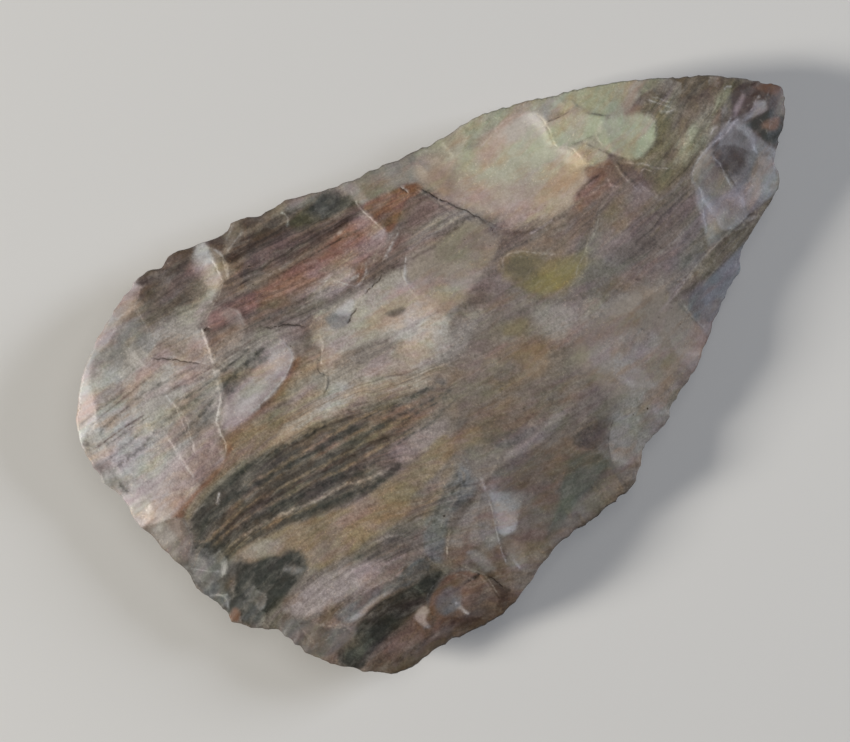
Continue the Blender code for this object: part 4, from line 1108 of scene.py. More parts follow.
class Face:
    """One face of the blade: a crown with flake scars struck into it, measured out from the edge."""

    def __init__(self, plan, rows, upward, sizes, seed):
        self.plan = plan
        self.upward = upward
        self.sizes = sizes
        self.seed = seed
        self.rise = UPPER_RISE if upward else UNDER_DEPTH
        self.full_rise = UPPER_RISE if upward else UNDER_DEPTH / (1.0 - REST_SHARE ** FACE_POWER)
        self.scars = [self.make_scar(row) for row in rows]
        self.crests = []
        self.cracks = []
        self.threads = []
        self.retouch = []
        self.struck = None

    def own_lift(self, turn, share):
        """Rise and fall of the cutting edge as this face sees it."""
        lift = edge_lift(turn, share)
        return lift if self.upward else -lift

    def crown_at(self, share, turn):
        """Height of the uncut face out from the edge."""
        return self.full_rise * (1.0 - share ** FACE_POWER) + self.own_lift(turn, share)

    def calm_crown(self, point):
        """Height of the uncut face over one point, as the knapper judges a blow."""
        share, turn = self.plan.calm_share(np.array(point[0]), np.array(point[1]))
        return float(self.crown_at(share, turn))

    def make_scar(self, row):
        """Bowl of one flake scar, stretched along the chord from the strike to the end."""
        _, (breadth, hollow, bite, drop, lean), (strike, finish) = read_row(row)
        strike, finish = np.array(strike), np.array(finish)
        half = HALF_WIDTH / BLADE_LENGTH
        run = (finish - strike) * (1.0, half)
        forward = run / np.hypot(*run)
        start = strike - forward * STRIKE_OVERRUN / (1.0, half)
        scale = (BLADE_LENGTH, HALF_WIDTH)
        strike, start, finish = [(spot - (0.5, 0.0)) * scale for spot in (strike, start, finish)]
        left = np.array((-forward[1], forward[0])) * breadth / 2.0 * BLADE_LENGTH
        return self.bowl(strike, start, finish, left, hollow * self.rise,
                         self.calm_crown(strike) - bite * self.rise,
                         self.calm_crown(finish) - drop * self.rise, lean * self.rise)

    def bowl(self, strike, start, finish, left, hollow, strike_height, finish_height, lean):
        """The sizes of a bowl: its middle, its half axes and its hollow under the chord."""
        middle = (start + finish) / 2.0
        return {
            "strike": strike,
            "middle": middle,
            "run": (finish - start) / 2.0,
            "left": left,
            "climb": (finish_height - strike_height) / 2.0,
            "tilt": (self.calm_crown(middle + left) - self.calm_crown(middle - left)) / 2.0 - lean,
            "height": (strike_height + finish_height) / 2.0,
            "hollow": hollow,
            "length": float(np.hypot(*(finish - strike))),
        }

    @staticmethod
    def bowl_height(bowl, x, y):
        """Height of a bowl's surface; past its rim it keeps climbing, so it cuts nothing there."""
        (ax, ay), (bx, by) = bowl["run"], bowl["left"]
        dx, dy = x - bowl["middle"][0], y - bowl["middle"][1]
        area = ax * by - ay * bx
        s = (dx * by - dy * bx) / area
        t = (ax * dy - ay * dx) / area
        chord = bowl["height"] + s * bowl["climb"] + t * bowl["tilt"]
        return chord + bowl["hollow"] * (s * s + t * t - 1.0)

    def waver(self, x, y):
        """Ridges waver, because no blow runs through the stone quite straight."""
        reach = self.sizes.waver
        moved = []
        for place, seed in ((x, self.seed), (y, self.seed + 2)):
            place = place + reach * swell(x, y, BROAD_WAVER, seed)
            moved.append(place + FINE_SHARE * reach * swell(x, y, FINE_WAVER, seed + 1))
        return moved

    def scar_heights(self, x, y):
        """Heights of the crown and of every scar over each point, one row for each."""
        share, turn, _ = self.plan.edge_share(x, y)
        wx, wy = self.waver(x, y)
        heights = [self.crown_at(share, turn)]
        for k, scar in enumerate(self.scars):
            away = np.hypot(wx - scar["strike"][0], wy - scar["strike"][1])
            passed = away / scar["length"]
            pitch = RIPPLE_PITCH + RIPPLE_GROWTH * away
            pitch = pitch * (RIPPLE_LEAST + RIPPLE_STEP * (k % RIPPLE_STEPS))
            ripple = self.sizes.ripple_height * np.sin(2.0 * math.pi * away / pitch + k)
            ripple *= eased(passed * RIPPLE_ONSET - RIPPLE_DELAY)
            heights.append(self.bowl_height(scar, wx, wy) + ripple)
        return np.stack(heights)

    def add_crests(self, rows):
        """Take in the hinge walls: noisy lines with a height and a low side."""
        pitch, stray, wave = CREST_COURSE
        for k, row in enumerate(rows):
            _, (height, low), points = read_row(row)
            line = astray(course(points, pitch), stray, wave, [seed + k for seed in CREST_SEEDS])
            self.crests.append((hundredths(height) * self.sizes.crest_scale, low, line))

    def add_cracks(self, rows):
        """Take in the fine cracks."""
        pitch, stray, wave = CRACK_COURSE
        for k, row in enumerate(rows):
            line = course(read_row(row)[2], pitch)
            self.cracks.append(astray(line, stray, wave, [seed + k for seed in CRACK_SEEDS]))

    def add_threads(self, rows):
        """Take in the thinnest coloured lines, so that the net follows them."""
        for row in rows:
            _, (_, half), points = read_row(row)
            if half < THREAD_LIMIT:
                self.threads.append((course(points, THREAD_PITCH), hundredths(THREAD_FLANK * half)))

    @staticmethod
    def near(x, y, line, reach):
        """Points within reach of a line's box."""
        low, high = line.min(axis=0) - reach, line.max(axis=0) + reach
        return np.nonzero((x > low[0]) & (x < high[0]) & (y > low[1]) & (y < high[1]))[0]

    def crest_heights(self, x, y):
        """Steps at the hinge walls, fading off on both sides, and the painted highlight along them."""
        total = np.zeros_like(x)
        wall_highlight = np.zeros_like(x)
        wall = self.sizes.wall_width / 4.0
        for height, low, line in self.crests:
            fade = WALL_REACH + WALL_GROWTH * height
            some = self.near(x, y, line, 4.0 * fade)
            off, share = beside_line(x[some], y[some], line)
            off = -off * low
            ends = tapered(share, CREST_TAPER)
            highlight_patches = HIGHLIGHT_PATCH_LEVEL + HIGHLIGHT_PATCH_SWING * swell(x[some], y[some], HIGHLIGHT_PATCH_LENGTH, self.seed + HIGHLIGHT_PATCH_DRAW)
            total[some] += height * 0.5 * ends * np.tanh(off / wall) * np.exp(-np.abs(off) / fade)
            # Painted highlight along the wall: stronger on taller walls, set off to one side, patchy along
            # it
            mark = min(WALL_HIGHLIGHT_LIMIT, height / WALL_HIGHLIGHT_HEIGHT) * ends
            mark = mark * np.exp(-((off - WALL_HIGHLIGHT_PLACE * wall) / (WALL_HIGHLIGHT_SPREAD * wall)) ** 2)
            mark = mark * np.clip(highlight_patches, 0.0, HIGHLIGHT_PATCH_MOST)
            wall_highlight[some] = np.maximum(wall_highlight[some], mark)
        return total, wall_highlight

    def crack_depths(self, x, y):
        """Grooves of the cracks, from 0 to 1."""
        total = np.zeros_like(x)
        for line in self.cracks:
            some = self.near(x, y, line, 10.0 * CRACK_WIDTH)
            off, share = beside_line(x[some], y[some], line)
            depth = tapered(share, CRACK_TAPER) * np.exp(-(off / CRACK_WIDTH) ** 2)
            total[some] = np.maximum(total[some], depth)
        return total

    def add_retouch(self, seed):
        """Small flakes pressed off along the edge, where the nicks are."""
        rng = random.Random(seed)
        plan = self.plan
        for place, breadth, _ in plan.strikes:
            k = int(np.searchsorted(plan.along, place)) % len(plan.edge)
            here, ahead = plan.edge[k], plan.edge[(k + 3) % len(plan.edge)]
            way = (ahead - here) / np.hypot(*(ahead - here))
            inward = np.array((-way[1], way[0]))
            turn = rng.uniform(-FLAKE_TURN, FLAKE_TURN)
            inward = inward * math.cos(turn) + way * math.sin(turn)
            length = breadth * rng.uniform(*FLAKE_LENGTHS)
            finish = here + inward * length
            left = np.array((-inward[1], inward[0])) * breadth * rng.uniform(*FLAKE_SIDES)
            hollow = self.sizes.retouch_hollow * rng.uniform(*FLAKE_HOLLOWS)
            hollow = hollow * (length / FULL_FLAKE) ** 0.5
            end_height = float(self.main_heights(np.array([finish[0]]), np.array([finish[1]]))[0])
            share, direction = plan.calm_share(np.array(here[0]), np.array(here[1]))
            strike_height = float(self.own_lift(direction, share)) + FLAKE_OVERRUN * hollow
            start = here - inward * FLAKE_OVERRUN * length
            self.retouch.append(self.bowl(here, start, finish, left, hollow, strike_height, end_height,
                                          0.0))

    def main_heights(self, x, y):
        """Heights with the main scars and the hinge walls."""
        height = self.scar_heights(x, y).min(axis=0)
        if self.crests:
            height = height + self.crest_heights(x, y)[0]
        return height

    def heights(self, x, y):
        """Finished heights out from the edge."""
        height = self.main_heights(x, y)
        share, turn, inset = self.plan.edge_share(x, y)
        self.struck = np.full(len(x), -1)
        for k, flake in enumerate(self.retouch):
            reach = np.hypot(*flake["run"]) * FLAKE_REACH
            gap = np.maximum(np.abs(x - flake["middle"][0]), np.abs(y - flake["middle"][1]))
            some = np.nonzero(gap < reach)[0]
            if len(some):
                wx, wy = self.waver(x[some], y[some])
                cut = self.bowl_height(flake, wx, wy)
                self.struck[some[cut < height[some]]] = k
                height[some] = np.minimum(height[some], cut)
        for wave, tall in FACE_SWELLS:
            height = height + tall * swell(x, y, wave, self.seed + int(wave / MM) + SWELL_DRAW)
        if self.cracks:
            height = height - CRACK_DEPTH * self.crack_depths(x, y)
        floor = self.own_lift(turn, share) + EDGE_SLOPE * np.clip(inset, 0.0, EDGE_BAND)
        return np.minimum(np.maximum(height, floor), self.rise)

    @staticmethod
    def lattice_size(step):
        """Rows and columns of the lattice over the plan."""
        rows = int(2.0 * HALF_WIDTH / (step * ROW_PITCH)) + SPARE_ROWS
        return rows, int(BLADE_LENGTH / step) + SPARE_ROWS

    def ridge_points(self, step):
        """Points on a lattice over the plan, and points where one scar meets another."""
        rows, columns = self.lattice_size(step)
        row, column = np.meshgrid(np.arange(rows), np.arange(columns), indexing="ij")
        x = (column - columns / 2.0 + 0.5 * (row % 2)) * step
        y = (row - rows / 2.0) * step * ROW_PITCH
        stack = self.scar_heights(x.ravel(), y.ravel())
        who = stack.argmin(axis=0)
        index = np.arange(rows * columns).reshape(rows, columns)
        even, odd = index[0:-1:2], index[1:-1:2]
        pairs = [(index[:, :-1], index[:, 1:]), (even, index[1::2][:len(even)]),
                 (even[:, 1:], index[1::2][:len(even), :-1]), (odd, index[2::2][:len(odd)]),
                 (odd[:, :-1], index[2::2][:len(odd), 1:])]
        spots = []
        for first, second in pairs:
            a, b = first.ravel(), second.ravel()
            keep = who[a] != who[b]
            a, b = a[keep], b[keep]
            gap_a = stack[who[b], a] - stack[who[a], a]
            gap_b = stack[who[a], b] - stack[who[b], b]
            t = gap_a / (gap_a + gap_b + 1e-15)
            spots.append(np.stack([x.ravel()[a] * (1 - t) + x.ravel()[b] * t,
                                   y.ravel()[a] * (1 - t) + y.ravel()[b] * t], axis=1))
        return np.stack([x.ravel(), y.ravel()], axis=1), np.vstack(spots)

    def net(self, step):
        """Triangles over the plan, closer where ridges, hinge walls and cracks run."""
        lattice, spots = self.ridge_points(step)
        wall = self.sizes.wall_width / 4.0
        courses = [(line, wall, WALL_FLANKS) for _, _, line in self.crests]
        courses += [(line, CRACK_FLANK, THIN_FLANKS) for line in self.cracks]
        courses += [(line, wide, THIN_FLANKS) for line, wide in self.threads]
        for line, wide, flanks in courses:
            way = np.gradient(line, axis=0)
            normal = np.stack([-way[:, 1], way[:, 0]], axis=1) / np.hypot(*way.T)[:, None]
            for off in flanks:
                spots = np.vstack([spots, line + normal * wide * off])
        cell = MERGE_SHARE * step
        _, first = np.unique(np.round(spots / cell), axis=0, return_index=True)
        spots = spots[np.sort(first)]
        nearest = np.zeros(len(lattice), dtype=bool)
        rows, columns = self.lattice_size(step)
        for shift in (-1, 0, 1):
            r = np.round(spots[:, 1] / (step * ROW_PITCH) + rows / 2.0).astype(int) + shift
            c = np.round(spots[:, 0] / step + columns / 2.0 - 0.5 * (r % 2)).astype(int)
            good = (r >= 0) & (r < rows) & (c >= 0) & (c < columns)
            flat = r[good] * columns + c[good]
            close = np.hypot(*(lattice[flat] - spots[good]).T) < CLEAR_SHARE * step
            nearest[flat[close]] = True
        points = np.vstack([spots, lattice[~nearest]])
        _, _, inset = self.plan.edge_share(points[:, 0], points[:, 1])
        points = points[inset > RIM_BAND + RIM_SHARE * step]
        edge = self.plan.edge
        border = (edge + np.roll(edge, -1, 0)) / 2.0
        border = border * (1.0 - RIM_BAND / np.hypot(*border.T))[:, None]
        points = np.vstack([border, points])
        cloud = np.vstack([edge, points]) / MM
        ring = list(range(len(edge)))
        # Triangulated in one go: its points crowd along every ridge, wall and crack, as no mesh operator
        # would set them, and a plain grid that fine would need far more faces
        placed, _, faces, _, _, _ = delaunay_2d_cdt(cloud.tolist(), [], [ring], 1, NET_TOLERANCE, False)
        placed = np.array([tuple(p) for p in placed]) * MM
        if len(placed) != len(cloud) or np.abs(placed - cloud * MM).max() > POINT_TOLERANCE:
            raise RuntimeError("the net of the blade moved a point")
        return points, [corners for corners in faces if max(corners) >= len(edge)]


def bed_level(u, v):
    """Level of each point in the beds of the stone, in thousandths of the length."""
    upper, lower = [spline(rows, BED_STEPS, False) for rows in (UPPER_BEDS, LOWER_BEDS)]
    high = np.interp(u, upper[:, 0], upper[:, 1])
    low = np.interp(u, lower[:, 0], lower[:, 1])
    mix = eased((v - BEDS_MEET[0]) / (BEDS_MEET[1] - BEDS_MEET[0]))
    level = v + high * mix + low * (1.0 - mix)
    for tall, wave, seed in BED_WAVES:
        level = level + tall * swell(u / BED_DRAW, v, wave, seed)
    return level


def paint_zones(u, v, rows, colours, seed):
    """Colour of the stone with its painted light and shade, and streak strength, zone over zone with ragged
    soft edges.
    """
    base = np.empty((len(u), 4))
    base[:] = (*colours["stone"], GROUND_STREAKS)
    for k, row in enumerate(rows):
        (_, colour), (strength, soft, streak, *fade), outline = read_row(row)
        corners = spline(outline, ZONE_STEPS, True)
        low, high = corners.min(axis=0), corners.max(axis=0)
        reach = ZONE_MARGIN + soft
        some = np.nonzero((u > low[0] - reach) & (u < high[0] + reach)
                          & (v > low[1] - reach) & (v < high[1] + reach))[0]
        x, y = u[some], v[some]
        ragged = RAGGED_LEAST + RAGGED_SHARE * soft
        draw = seed + ZONE_DRAWS * k
        broad, fine, broad_across, fine_across, fringe = ZONE_WAVES
        wu = x + ragged * (swell(x, y, broad, draw) + swell(x * 0.4, y, fine, draw + 1))
        sideways = swell(x, y, broad_across, draw + 2) + swell(x * 0.4, y, fine_across, draw + 3)
        wv = y + 0.4 * ragged * sideways
        wu += 0.8 * (0.5 + streak) * ragged * swell(x * 0.5, y, fringe, draw + 4)
        depth = inside_outline(wu, wv, corners)
        edge = soft * 0.1 * MM / BLADE_LENGTH * PER_LENGTH + SOFT_LEAST
        share = strength * eased(0.5 + 0.5 * depth / edge)
        for turn in fade:
            way = (math.cos(math.radians(turn)), math.sin(math.radians(turn)))
            run = x * way[0] + y * way[1]
            across = corners @ way
            share *= eased((across.max() - run) / np.ptp(across) * FADE_SHARE)
        base[some] += (np.array((*colours[colour], streak)) - base[some]) * share[:, None]
    return base


def paint_lines(u, v, base, rows, colours, seed):
    """Draw the thin beds and scratches, and the painted highlights on ridges and walls, over the zones."""
    for k, row in enumerate(rows):
        (_, colour), (strength, half), points = read_row(row)
        draw = seed + LINE_DRAWS * k
        width = hundredths(half) / BLADE_LENGTH * PER_LENGTH
        line = spline(points, LINE_STEPS, False)
        low, high = line.min(axis=0) - 4.0 * width, line.max(axis=0) + 4.0 * width
        some = np.nonzero((u > low[0]) & (u < high[0]) & (v > low[1]) & (v < high[1]))[0]
        x, y = u[some], v[some]
        stray, growth, gaps = [swell(x, y, wave, draw + i) for i, wave in enumerate(LINE_WAVES)]
        off, share = beside_line(x, y + LINE_SWING * width * stray, line)
        thick = width * (1.0 + LINE_SWING * growth)
        broken = np.clip(GAP_LEVEL + LINE_SWING * gaps, *GAP_LIMITS)
        share = np.clip(strength * tapered(share, LINE_TAPER) * broken, 0.0, 1.0)
        share = share * np.exp(-(off / thick) ** 2)
        base[some, :3] += (np.array(colours[colour]) - base[some, :3]) * share[:, None]


def add_node(tree, kind, settings, inputs):
    """Add a node with its settings, and link or set its inputs."""
    node = tree.nodes.new(kind)
    for name, value in settings.items():
        setattr(node, name, value)
    for name, value in inputs.items():
        if isinstance(value, bpy.types.NodeSocket):
            tree.links.new(value, node.inputs[name])
        else:
            node.inputs[name].default_value = value
    node.location = (220.0 * (len(tree.nodes) % 9), -260.0 * (len(tree.nodes) // 9))
    return node


def chert_material():
    """Banded chert, split by blows: a waxy, very fine-grained stone that breaks like glass.

    The beds give stretched streaks and the grain a soft sugary sparkle; along the hinge walls a
    painted highlight, whitish and a little duller, stands for the light they catch."""
    material = bpy.data.materials.new("chert_knapped")
    material.use_nodes = True
    tree = material.node_tree
    shader = tree.nodes["Principled BSDF"]
    # The colour read here holds the painted highlights and shade along with the stone's own colours
    stone = add_node(tree, "ShaderNodeAttribute", {"attribute_name": "stone_colour"}, {})
    marks = add_node(tree, "ShaderNodeAttribute", {"attribute_name": "stone_marks"}, {})
    mark = add_node(tree, "ShaderNodeSeparateColor", {}, {"Color": marks.outputs["Color"]})
    # The second channel holds the painted highlight along the hinge walls
    bed, wall_highlight, crack = mark.outputs
    place = add_node(tree, "ShaderNodeTexCoord", {}, {}).outputs["Object"]
    split = add_node(tree, "ShaderNodeSeparateXYZ", {}, {"Vector": place})
    flat = add_node(tree, "ShaderNodeMath", {"operation": "MULTIPLY"}, {0: split.outputs[2], 1: FLATNESS})

    # Two coordinates that follow the beds: streaks are drawn out far along them, patches a little
    beds = []
    for along in (1.0 / STREAK_DRAW, 1.0 / PATCH_DRAW):
        run = add_node(tree, "ShaderNodeMath", {"operation": "MULTIPLY"},
                       {0: split.outputs[0], 1: along})
        beds.append(add_node(tree, "ShaderNodeCombineXYZ", {},
                             {0: run.outputs[0], 1: bed, 2: flat.outputs[0]}).outputs[0])
    streaks, patches = beds

    # Patterns: name, where, size in millimetres, detail, roughness, and a shift that sets them apart
    grain = {}
    for name, where, size, detail, rough, shift in (
            ("fine", streaks, 0.60, 2.0, 0.6, 0.0), ("wide", streaks, 2.0, 2.0, 0.6, 1.3),
            ("brown", patches, 3.4, 4.0, 0.6, 2.1), ("green", patches, 3.0, 4.0, 0.6, 3.7),
            ("lilac", patches, 3.2, 4.0, 0.6, 5.2), ("pale", patches, 1.5, 5.0, 0.65, 6.6),
            ("cloud", place, 6.0, 4.0, 0.6, 0.4), ("mottle", place, 0.7, 4.0, 0.7, 7.3),
            ("sugar", place, 0.30, 2.0, 0.6, 8.1), ("fleck", place, 0.34, 1.0, 0.5, 9.4),
            ("fleck_field", place, 5.0, 2.0, 0.5, 4.4), ("speck", place, 0.8, 1.0, 0.5, 2.9),
            ("speck_field", place, 8.0, 1.0, 0.5, 5.9)):
        node = add_node(tree, "ShaderNodeTexNoise", {"noise_dimensions": "4D"},
                        {"Vector": where, "W": shift, "Scale": 1.0 / (size * MM), "Detail": detail,
                         "Roughness": rough})
        grain[name] = node.outputs["Fac"]
    strength = stone.outputs["Alpha"]
    blend = add_node(tree, "ShaderNodeMix", {"data_type": "FLOAT"},
                     {0: 0.4, 2: grain["fine"], 3: grain["wide"]}).outputs[0]

    # Where each pattern shows: name, pattern, values where it starts and is full, and its share when
    # full, which may be another mask
    mask = {"streaks": strength, "wall_highlight": wall_highlight}
    for name, value, low, high, full in (
            ("fleck_field", grain["fleck_field"], 0.42, 0.60, 1.0),
            ("speck_field", grain["speck_field"], 0.50, 0.60, 1.0),
            ("dark", blend, 0.50, 0.36, "streaks"),
            ("pale", blend, 0.50, 0.64, "streaks"),
            ("brown_patch", grain["brown"], 0.48, 0.62, 0.42),
            ("green_patch", grain["green"], 0.50, 0.62, 0.18),
            ("lilac_patch", grain["lilac"], 0.48, 0.62, 0.30),
            ("pale_patch", grain["pale"], 0.50, 0.66, 0.20),
            ("cloud", grain["cloud"], 0.25, 0.75, 1.0),
            ("mottle", grain["mottle"], 0.28, 0.72, 1.0),
            ("sugar", grain["sugar"], 0.22, 0.78, 1.0),
            ("fleck", grain["fleck"], 0.62, 0.70, "fleck_field"),
            ("speck", grain["speck"], 0.72, 0.77, "speck_field"),
            # Mottled painted highlight along the hinge walls
            ("wall_highlight_mottle", grain["mottle"], 0.20, 0.55, "wall_highlight")):
        most = mask[full] if isinstance(full, str) else full
        mask[name] = add_node(tree, "ShaderNodeMapRange", {},
                              {"Value": value, "From Min": low, "From Max": high,
                               "To Max": most}).outputs[0]

    # The grain shows more where the beds are strong
    mask["grainy"] = add_node(tree, "ShaderNodeMapRange", {},
                              {"Value": strength, "From Max": 0.3, "To Min": 0.20,
                               "To Max": 0.42}).outputs[0]

    # Layers of colour, from the painted zones up: share, blend, tone; the whitish mix over the hinge walls
    # is a painted highlight
    colour = stone.outputs["Color"]
    for share, kind, tone in (
            (mask["brown_patch"], "COLOR", "#957048"), (mask["green_patch"], "COLOR", "#6b7650"),
            (mask["lilac_patch"], "COLOR", "#866c78"), (mask["pale_patch"], "MIX", "#a39c92"),
            (mask["dark"], "MULTIPLY", "#8a8078"), (mask["pale"], "SOFT_LIGHT", "#e6ded4"),
            (0.22, "SOFT_LIGHT", mask["cloud"]), (mask["grainy"], "SOFT_LIGHT", mask["mottle"]),
            (mask["grainy"], "SOFT_LIGHT", mask["sugar"]), (mask["fleck"], "SOFT_LIGHT", "#e0dcd4"),
            (mask["speck"], "MULTIPLY", "#7a6a5c"), (mask["wall_highlight_mottle"], "MIX", "#c2bbb0"),
            (crack, "MULTIPLY", "#6a5c50")):
        second = (*linear(tone), 1.0) if isinstance(tone, str) else tone
        colour = add_node(tree, "ShaderNodeMix", {"data_type": "RGBA", "blend_type": kind},
                          {0: share, 6: colour, 7: second}).outputs[2]
    tree.links.new(colour, shader.inputs["Base Color"])

    # Freshly split chert is waxy; it is duller where it is mottled and under the painted highlight of the
    # hinge walls
    rough = 0.38
    for value, share in ((mask["mottle"], 0.16), (mask["wall_highlight_mottle"], 0.20), (mask["fleck"], -0.12)):
        rough = add_node(tree, "ShaderNodeMath", {"operation": "MULTIPLY_ADD"},
                         {0: value, 1: share, 2: rough}).outputs[0]
    tree.links.new(rough, shader.inputs["Roughness"])
    shader.inputs["IOR"].default_value = 1.54
    shader.inputs["Specular IOR Level"].default_value = 0.38
    shader.inputs["Metallic"].default_value = 0.0
    relief = 0.0
    for value, share in ((blend, 0.4), (grain["mottle"], 1.0), (grain["sugar"], 0.5)):
        relief = add_node(tree, "ShaderNodeMath", {"operation": "MULTIPLY_ADD"},
                          {0: value, 1: share, 2: relief}).outputs[0]
    bump = add_node(tree, "ShaderNodeBump", {}, {"Strength": 1.0, "Distance": 0.030 * MM, "Height": relief})
    tree.links.new(bump.outputs["Normal"], shader.inputs["Normal"])
    return material


def plain_material(name, colour, roughness):
    """Even matte finish for the stage."""
    material = bpy.data.materials.new(name)
    material.use_nodes = True
    shader = material.node_tree.nodes["Principled BSDF"]
    shader.inputs["Base Color"].default_value = (*colour, 1.0)
    shader.inputs["Roughness"].default_value = roughness
    return material


class BladeSizes(bpy.types.PropertyGroup):
    """Sizes of the knapped surface."""
    net_step: FloatProperty(name="Net", description="Spacing of the net on the upper face",
                            default=0.29 * MM, min=0.2 * MM, unit="LENGTH")
    under_step: FloatProperty(name="Net below", description="Spacing of the net on the underside",
                              default=0.75 * MM, min=0.2 * MM, unit="LENGTH")
    waver: FloatProperty(name="Waver", description="How far ridges waver off their smooth course",
                         default=0.55 * MM, min=0.0, unit="LENGTH")
    ripple_height: FloatProperty(name="Ripples", description="Height of the ripples in the scars",
                                 default=0.013 * MM, min=0.0, unit="LENGTH")
    wall_width: FloatProperty(name="Hinge walls", description="Width of the walls where flakes broke off",
                              default=0.15 * MM, min=0.1 * MM, unit="LENGTH")
    crest_scale: FloatProperty(name="Wall height", description="Height of the hinge walls, as a factor",
                               default=0.55, min=0.0, subtype="FACTOR")
    retouch_pitch: FloatProperty(name="Retouch", description="Widest spacing of the small edge flakes",
                                 default=2.9 * MM, min=1.0 * MM, unit="LENGTH")
    retouch_hollow: FloatProperty(name="Retouch depth", description="Depth of the small flakes",
                                  default=0.22 * MM, min=0.0, unit="LENGTH")
    nick_depth: FloatProperty(name="Nicks", description="Deepest nick of the small flakes in the outline",
                              default=0.42 * MM, min=0.0, unit="LENGTH")
    jag: FloatProperty(name="Jags", description="Fine unevenness of the cutting edge", default=0.035 * MM,
                       min=0.0, unit="LENGTH")


class StoneColours(bpy.types.PropertyGroup):
    """Colours of the stone."""
    __annotations__ = {
        key: FloatVectorProperty(name=key.capitalize(), description=what, default=linear(value), min=0.0,
                                 max=1.0, subtype="COLOR")
        for key, what, value in PALETTE
    }


class StageSettings(bpy.types.PropertyGroup):
    """Floor, lights and camera."""
    floor_colour: FloatVectorProperty(name="Floor", description="Colour of the floor",
                                      default=linear("#cbc9c5"), min=0.0, max=1.0, subtype="COLOR")
    floor_size: FloatProperty(name="Floor size", description="Side of the floor", default=3.0,
                              unit="LENGTH")
    key_power: FloatProperty(name="Key", description="Power of the low warm light from the left",
                             default=14.5, unit="POWER")
    fill_power: FloatProperty(name="Fill", description="Power of the bluish light from the right",
                              default=9.2, unit="POWER")
    top_power: FloatProperty(name="Top", description="Power of the soft light from above", default=1.7,
                             unit="POWER")
    camera_turn: FloatProperty(name="Turn", description="Turn of the camera about its view",
                               default=math.radians(-36.0), subtype="ANGLE")
    view_width: FloatProperty(name="View width", description="Width seen at the level of the cutting edge",
                              default=0.1195, unit="LENGTH")
    lens: FloatProperty(name="Lens", description="Focal length in millimetres", default=120.0)


def make_object(name, mesh):
    """Link a new object to the scene."""
    item = bpy.data.objects.new(name, mesh)
    bpy.context.scene.collection.objects.link(item)
    return item


